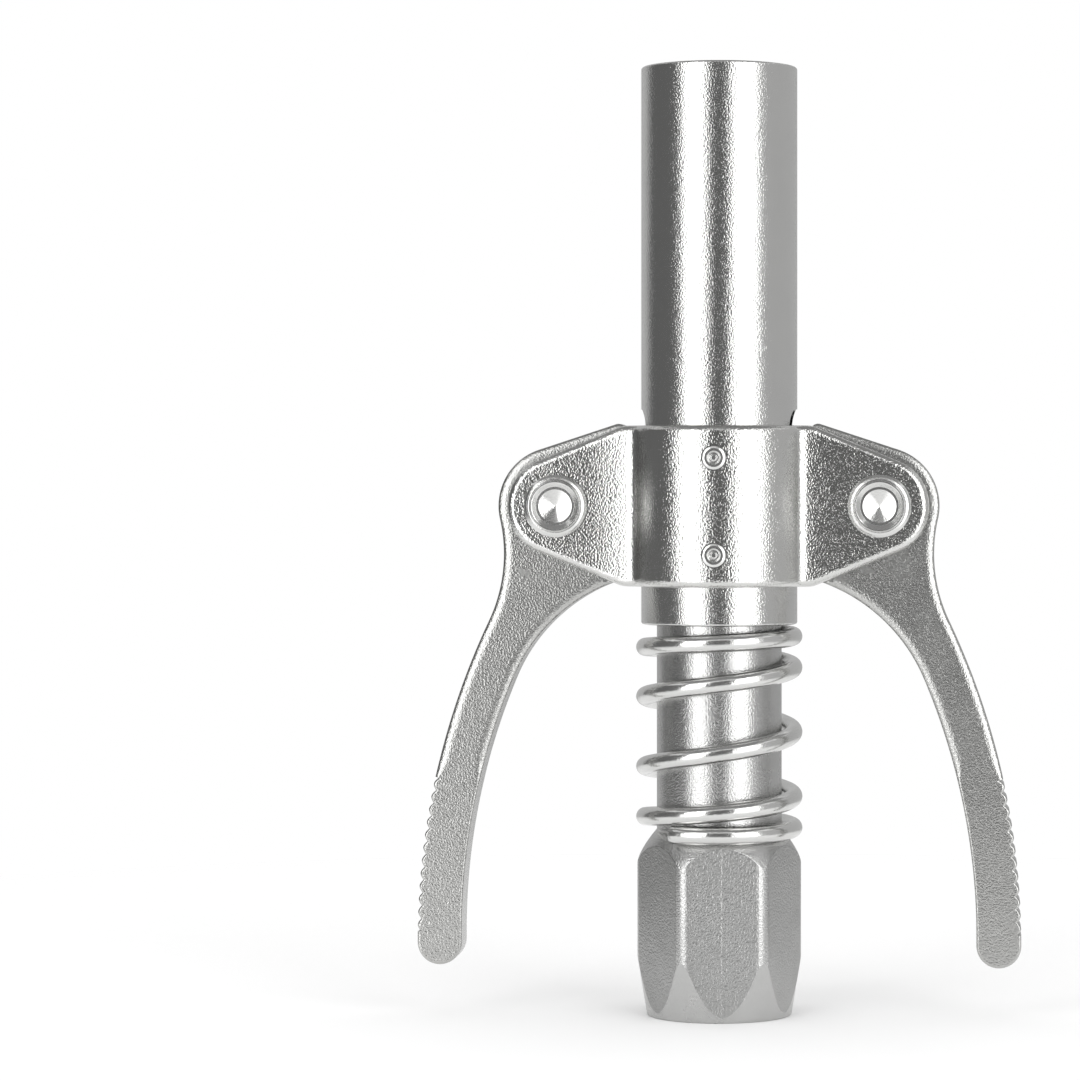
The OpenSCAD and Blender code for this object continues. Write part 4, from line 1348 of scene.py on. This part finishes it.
@dataclass
class Studio:
    """Pale floor, white surroundings, grey cards, tall soft boxes and the camera."""

    camera_deg: float = 3.5
    camera_reach: float = 400.0
    camera_z: float = 54.8
    lens: float = 130.0
    shift: tuple[float, float] = (-0.166, -0.056)
    card_r: float = 750.0
    card_z: tuple[float, float] = (-500.0, 650.0)
    above_z: float = 720.0
    above_half: float = 600.0
    above_colour: str = "#909090"
    box_r: float = 700.0
    box_h: float = 1000.0
    box_z: float = 80.0
    floor_r: float = 260.0
    floor_fade: tuple[float, float] = (0.15, 0.9)
    floor_colour: str = "#f7f7f7"

    def compass(self, degrees: float, reach: float) -> np.ndarray:
        """Point on the floor plan, with 0 degrees towards the camera and positive to its right."""
        turned = math.radians(degrees + self.camera_deg)
        return np.array([reach * math.sin(turned), -reach * math.cos(turned)])

    def surroundings(self) -> None:
        """Makes the world plain white."""
        world = bpy.data.worlds.new("white_surroundings")
        world.use_nodes = True
        world.node_tree.nodes["Background"].inputs["Color"].default_value = linear("#ffffff")
        world.node_tree.nodes["Background"].inputs["Strength"].default_value = 1.0
        bpy.context.scene.world = world
        bpy.context.scene.view_settings.view_transform = "Standard"

    def floor(self) -> None:
        """Lays a round pale floor that fades into the white surroundings over a share of its radius."""
        rings = np.linspace(0, self.floor_r, 24)[:, None]
        angle = np.linspace(0, 2 * np.pi, 96, endpoint=False)
        floor = make_piece("floor", grid_skin(on_circles(rings, angle, 0 * rings), wrap_columns=True))
        material = new_material("pale_floor")
        tree = material.node_tree
        place = add_node(tree, "ShaderNodeTexCoord", {}).outputs["Object"]
        reach = add_node(tree, "ShaderNodeVectorMath", {0: place}, operation="LENGTH")
        fade = add_node(tree, "ShaderNodeMapRange", {
            "Value": reach.outputs["Value"], "From Min": self.floor_fade[0] * self.floor_r * MM,
            "From Max": self.floor_fade[1] * self.floor_r * MM}, interpolation_type="SMOOTHSTEP")
        matte = add_node(tree, "ShaderNodeBsdfDiffuse", {"Color": linear(self.floor_colour)})
        clear = add_node(tree, "ShaderNodeBsdfTransparent", {})
        mix = add_node(tree, "ShaderNodeMixShader", {
            "Fac": fade.outputs["Result"], 1: matte.outputs["BSDF"], 2: clear.outputs["BSDF"]})
        add_node(tree, "ShaderNodeOutputMaterial", {"Surface": mix.outputs["Shader"]})
        floor.data.materials.append(material)

    def stand(self, card: Card) -> None:
        """Stands a card round the floor: its plan is an arc, carried from its low to its high edge.

        Args:
            card: The card, which only reflections see.
        """
        plan = np.stack([self.compass(a, self.card_r) for a in np.linspace(card.start, card.end, 24)])
        heights = np.array(self.card_z)
        points = np.concatenate([np.broadcast_to(plan, (2, *plan.shape)),
                                 np.broadcast_to(heights[:, None, None], (2, len(plan), 1))], -1)
        self.paint(make_piece(card.name, grid_skin(points)), card.colour)

    def paint(self, card: bpy.types.Object, colour: str) -> None:
        """Gives a card an even glow of its colour and hides it from the camera.

        Args:
            card: The card.
            colour: Its colour.
        """
        material = new_material(f"{card.name}_paper")
        glow = add_node(material.node_tree, "ShaderNodeEmission", {"Color": linear(colour), "Strength": 1.0})
        add_node(material.node_tree, "ShaderNodeOutputMaterial", {"Surface": glow.outputs["Emission"]})
        card.data.materials.append(material)
        card.visible_camera = False
        card.visible_diffuse = False
        card.visible_shadow = False

    def hang_above(self) -> None:
        """Hangs a square grey card over the floor."""
        plan = np.array([(-1, -1), (1, -1), (1, 1), (-1, 1)]) * self.above_half
        skin = Skin(np.column_stack([plan, np.full(4, self.above_z)]), [np.arange(4)[None]])
        self.paint(make_piece("card_above", skin), self.above_colour)

    def light(self, box: SoftBox) -> None:
        """Hangs a soft box that faces the axis.

        Args:
            box: The soft box, which the camera doesn't see.
        """
        lamp = bpy.data.lights.new(box.name, "AREA")
        lamp.shape = "RECTANGLE"
        lamp.size = box.width * MM
        lamp.size_y = self.box_h * MM
        lamp.energy = box.watts
        piece = bpy.data.objects.new(box.name, lamp)
        piece.location = (*(self.compass(box.degrees, self.box_r) * MM), self.box_z * MM)
        piece.rotation_euler = (math.pi / 2, 0, math.radians(box.degrees + self.camera_deg))
        piece.visible_camera = False
        bpy.context.scene.collection.objects.link(piece)

    def camera(self) -> None:
        """Sets up the camera: level, far off, a little to the right of the front."""
        data = bpy.data.cameras.new("camera")
        data.sensor_width = 36.0
        data.lens = self.lens
        data.shift_x, data.shift_y = self.shift
        camera = bpy.data.objects.new("camera", data)
        camera.location = (*(self.compass(0, self.camera_reach) * MM), self.camera_z * MM)
        camera.rotation_euler = (math.pi / 2, 0, math.radians(self.camera_deg))
        bpy.context.scene.collection.objects.link(camera)
        bpy.context.scene.camera = camera

    def build(self) -> None:
        """Builds the whole studio."""
        self.surroundings()
        self.floor()
        for card in CARDS:
            self.stand(card)
        self.hang_above()
        for box in SOFT_BOXES:
            self.light(box)
        self.camera()


def millimetres(node: str) -> tuple[np.ndarray, np.ndarray]:
    """Lowest and highest corner of a node in millimetres."""
    low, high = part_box(node)
    return np.array(low) / MM, np.array(high) / MM


def build_object(frame: dict) -> None:
    """Builds every piece of the coupler from the inside out.
    """
    joints = {joint["name"]: joint for joint in frame["joints"]}
    pivot = np.array(joints["lever_right_swing"]["pos_m"]) / MM
    slide, press, lift = (joints[name]["range_m"][1] / MM
                          for name in ("sleeve_slide", "seal_press", "ball_lift"))
    sleeve_low, sleeve_high = millimetres("sleeve")
    band_r = -millimetres("yoke_front")[0][1]
    half_t = millimetres("lever_right")[1][1]
    jaw_low, jaw_high = millimetres("jaw_1")
    seal_low, seal_high = millimetres("seal")
    Core().dress()
    Coil("return_spring_wire", "return_spring", "sleeve_slide", SPRING_WIRE, mean_r=7.605, wire_r=0.925,
         turns=4.7, ramp=1.9, start_deg=235.0, travel=slide, held_at_top=False).dress()
    Coil("seal_spring_wire", "seal_spring", "seal_press", SPRING_WIRE, mean_r=2.3, wire_r=0.25, turns=3.5,
         ramp=0.9, start_deg=0.0, travel=press, held_at_top=False, sides=12, steps=36).dress()
    Coil("ball_spring_wire", "ball_spring", "ball_lift", SPRING_WIRE, mean_r=1.6, wire_r=0.2, turns=6.0,
         ramp=0.9, start_deg=0.0, travel=lift, held_at_top=True, sides=12, steps=36).dress()
    ball_low, ball_high = millimetres("check_ball")
    CheckBall(ball_low[2], ball_high[2]).dress()
    InnerPieces(frame["nodes"]).dress()
    Seal(seal_low[2], seal_high[2]).dress()
    Jaws(jaw_low[2], jaw_high[2]).dress()
    Sleeve(sleeve_high[0], sleeve_low[2], sleeve_high[2], pivot[2]).dress()
    for half in Half:
        YokeHalf(half, band_r, pivot[0], pivot[2]).dress()
    YokePins(band_r, pivot[2]).dress()
    for side in Side:
        SqueezeLever(side, pivot[0], pivot[2], half_t).dress()
        Rivet(side, pivot[0], pivot[2]).dress()


def main() -> None:
    """Loads the frame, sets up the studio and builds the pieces."""
    logging.basicConfig(level=logging.INFO, format="%(message)s")
    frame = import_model()
    Studio().build()
    build_object(frame)


if __name__ == "__main__":
    main()
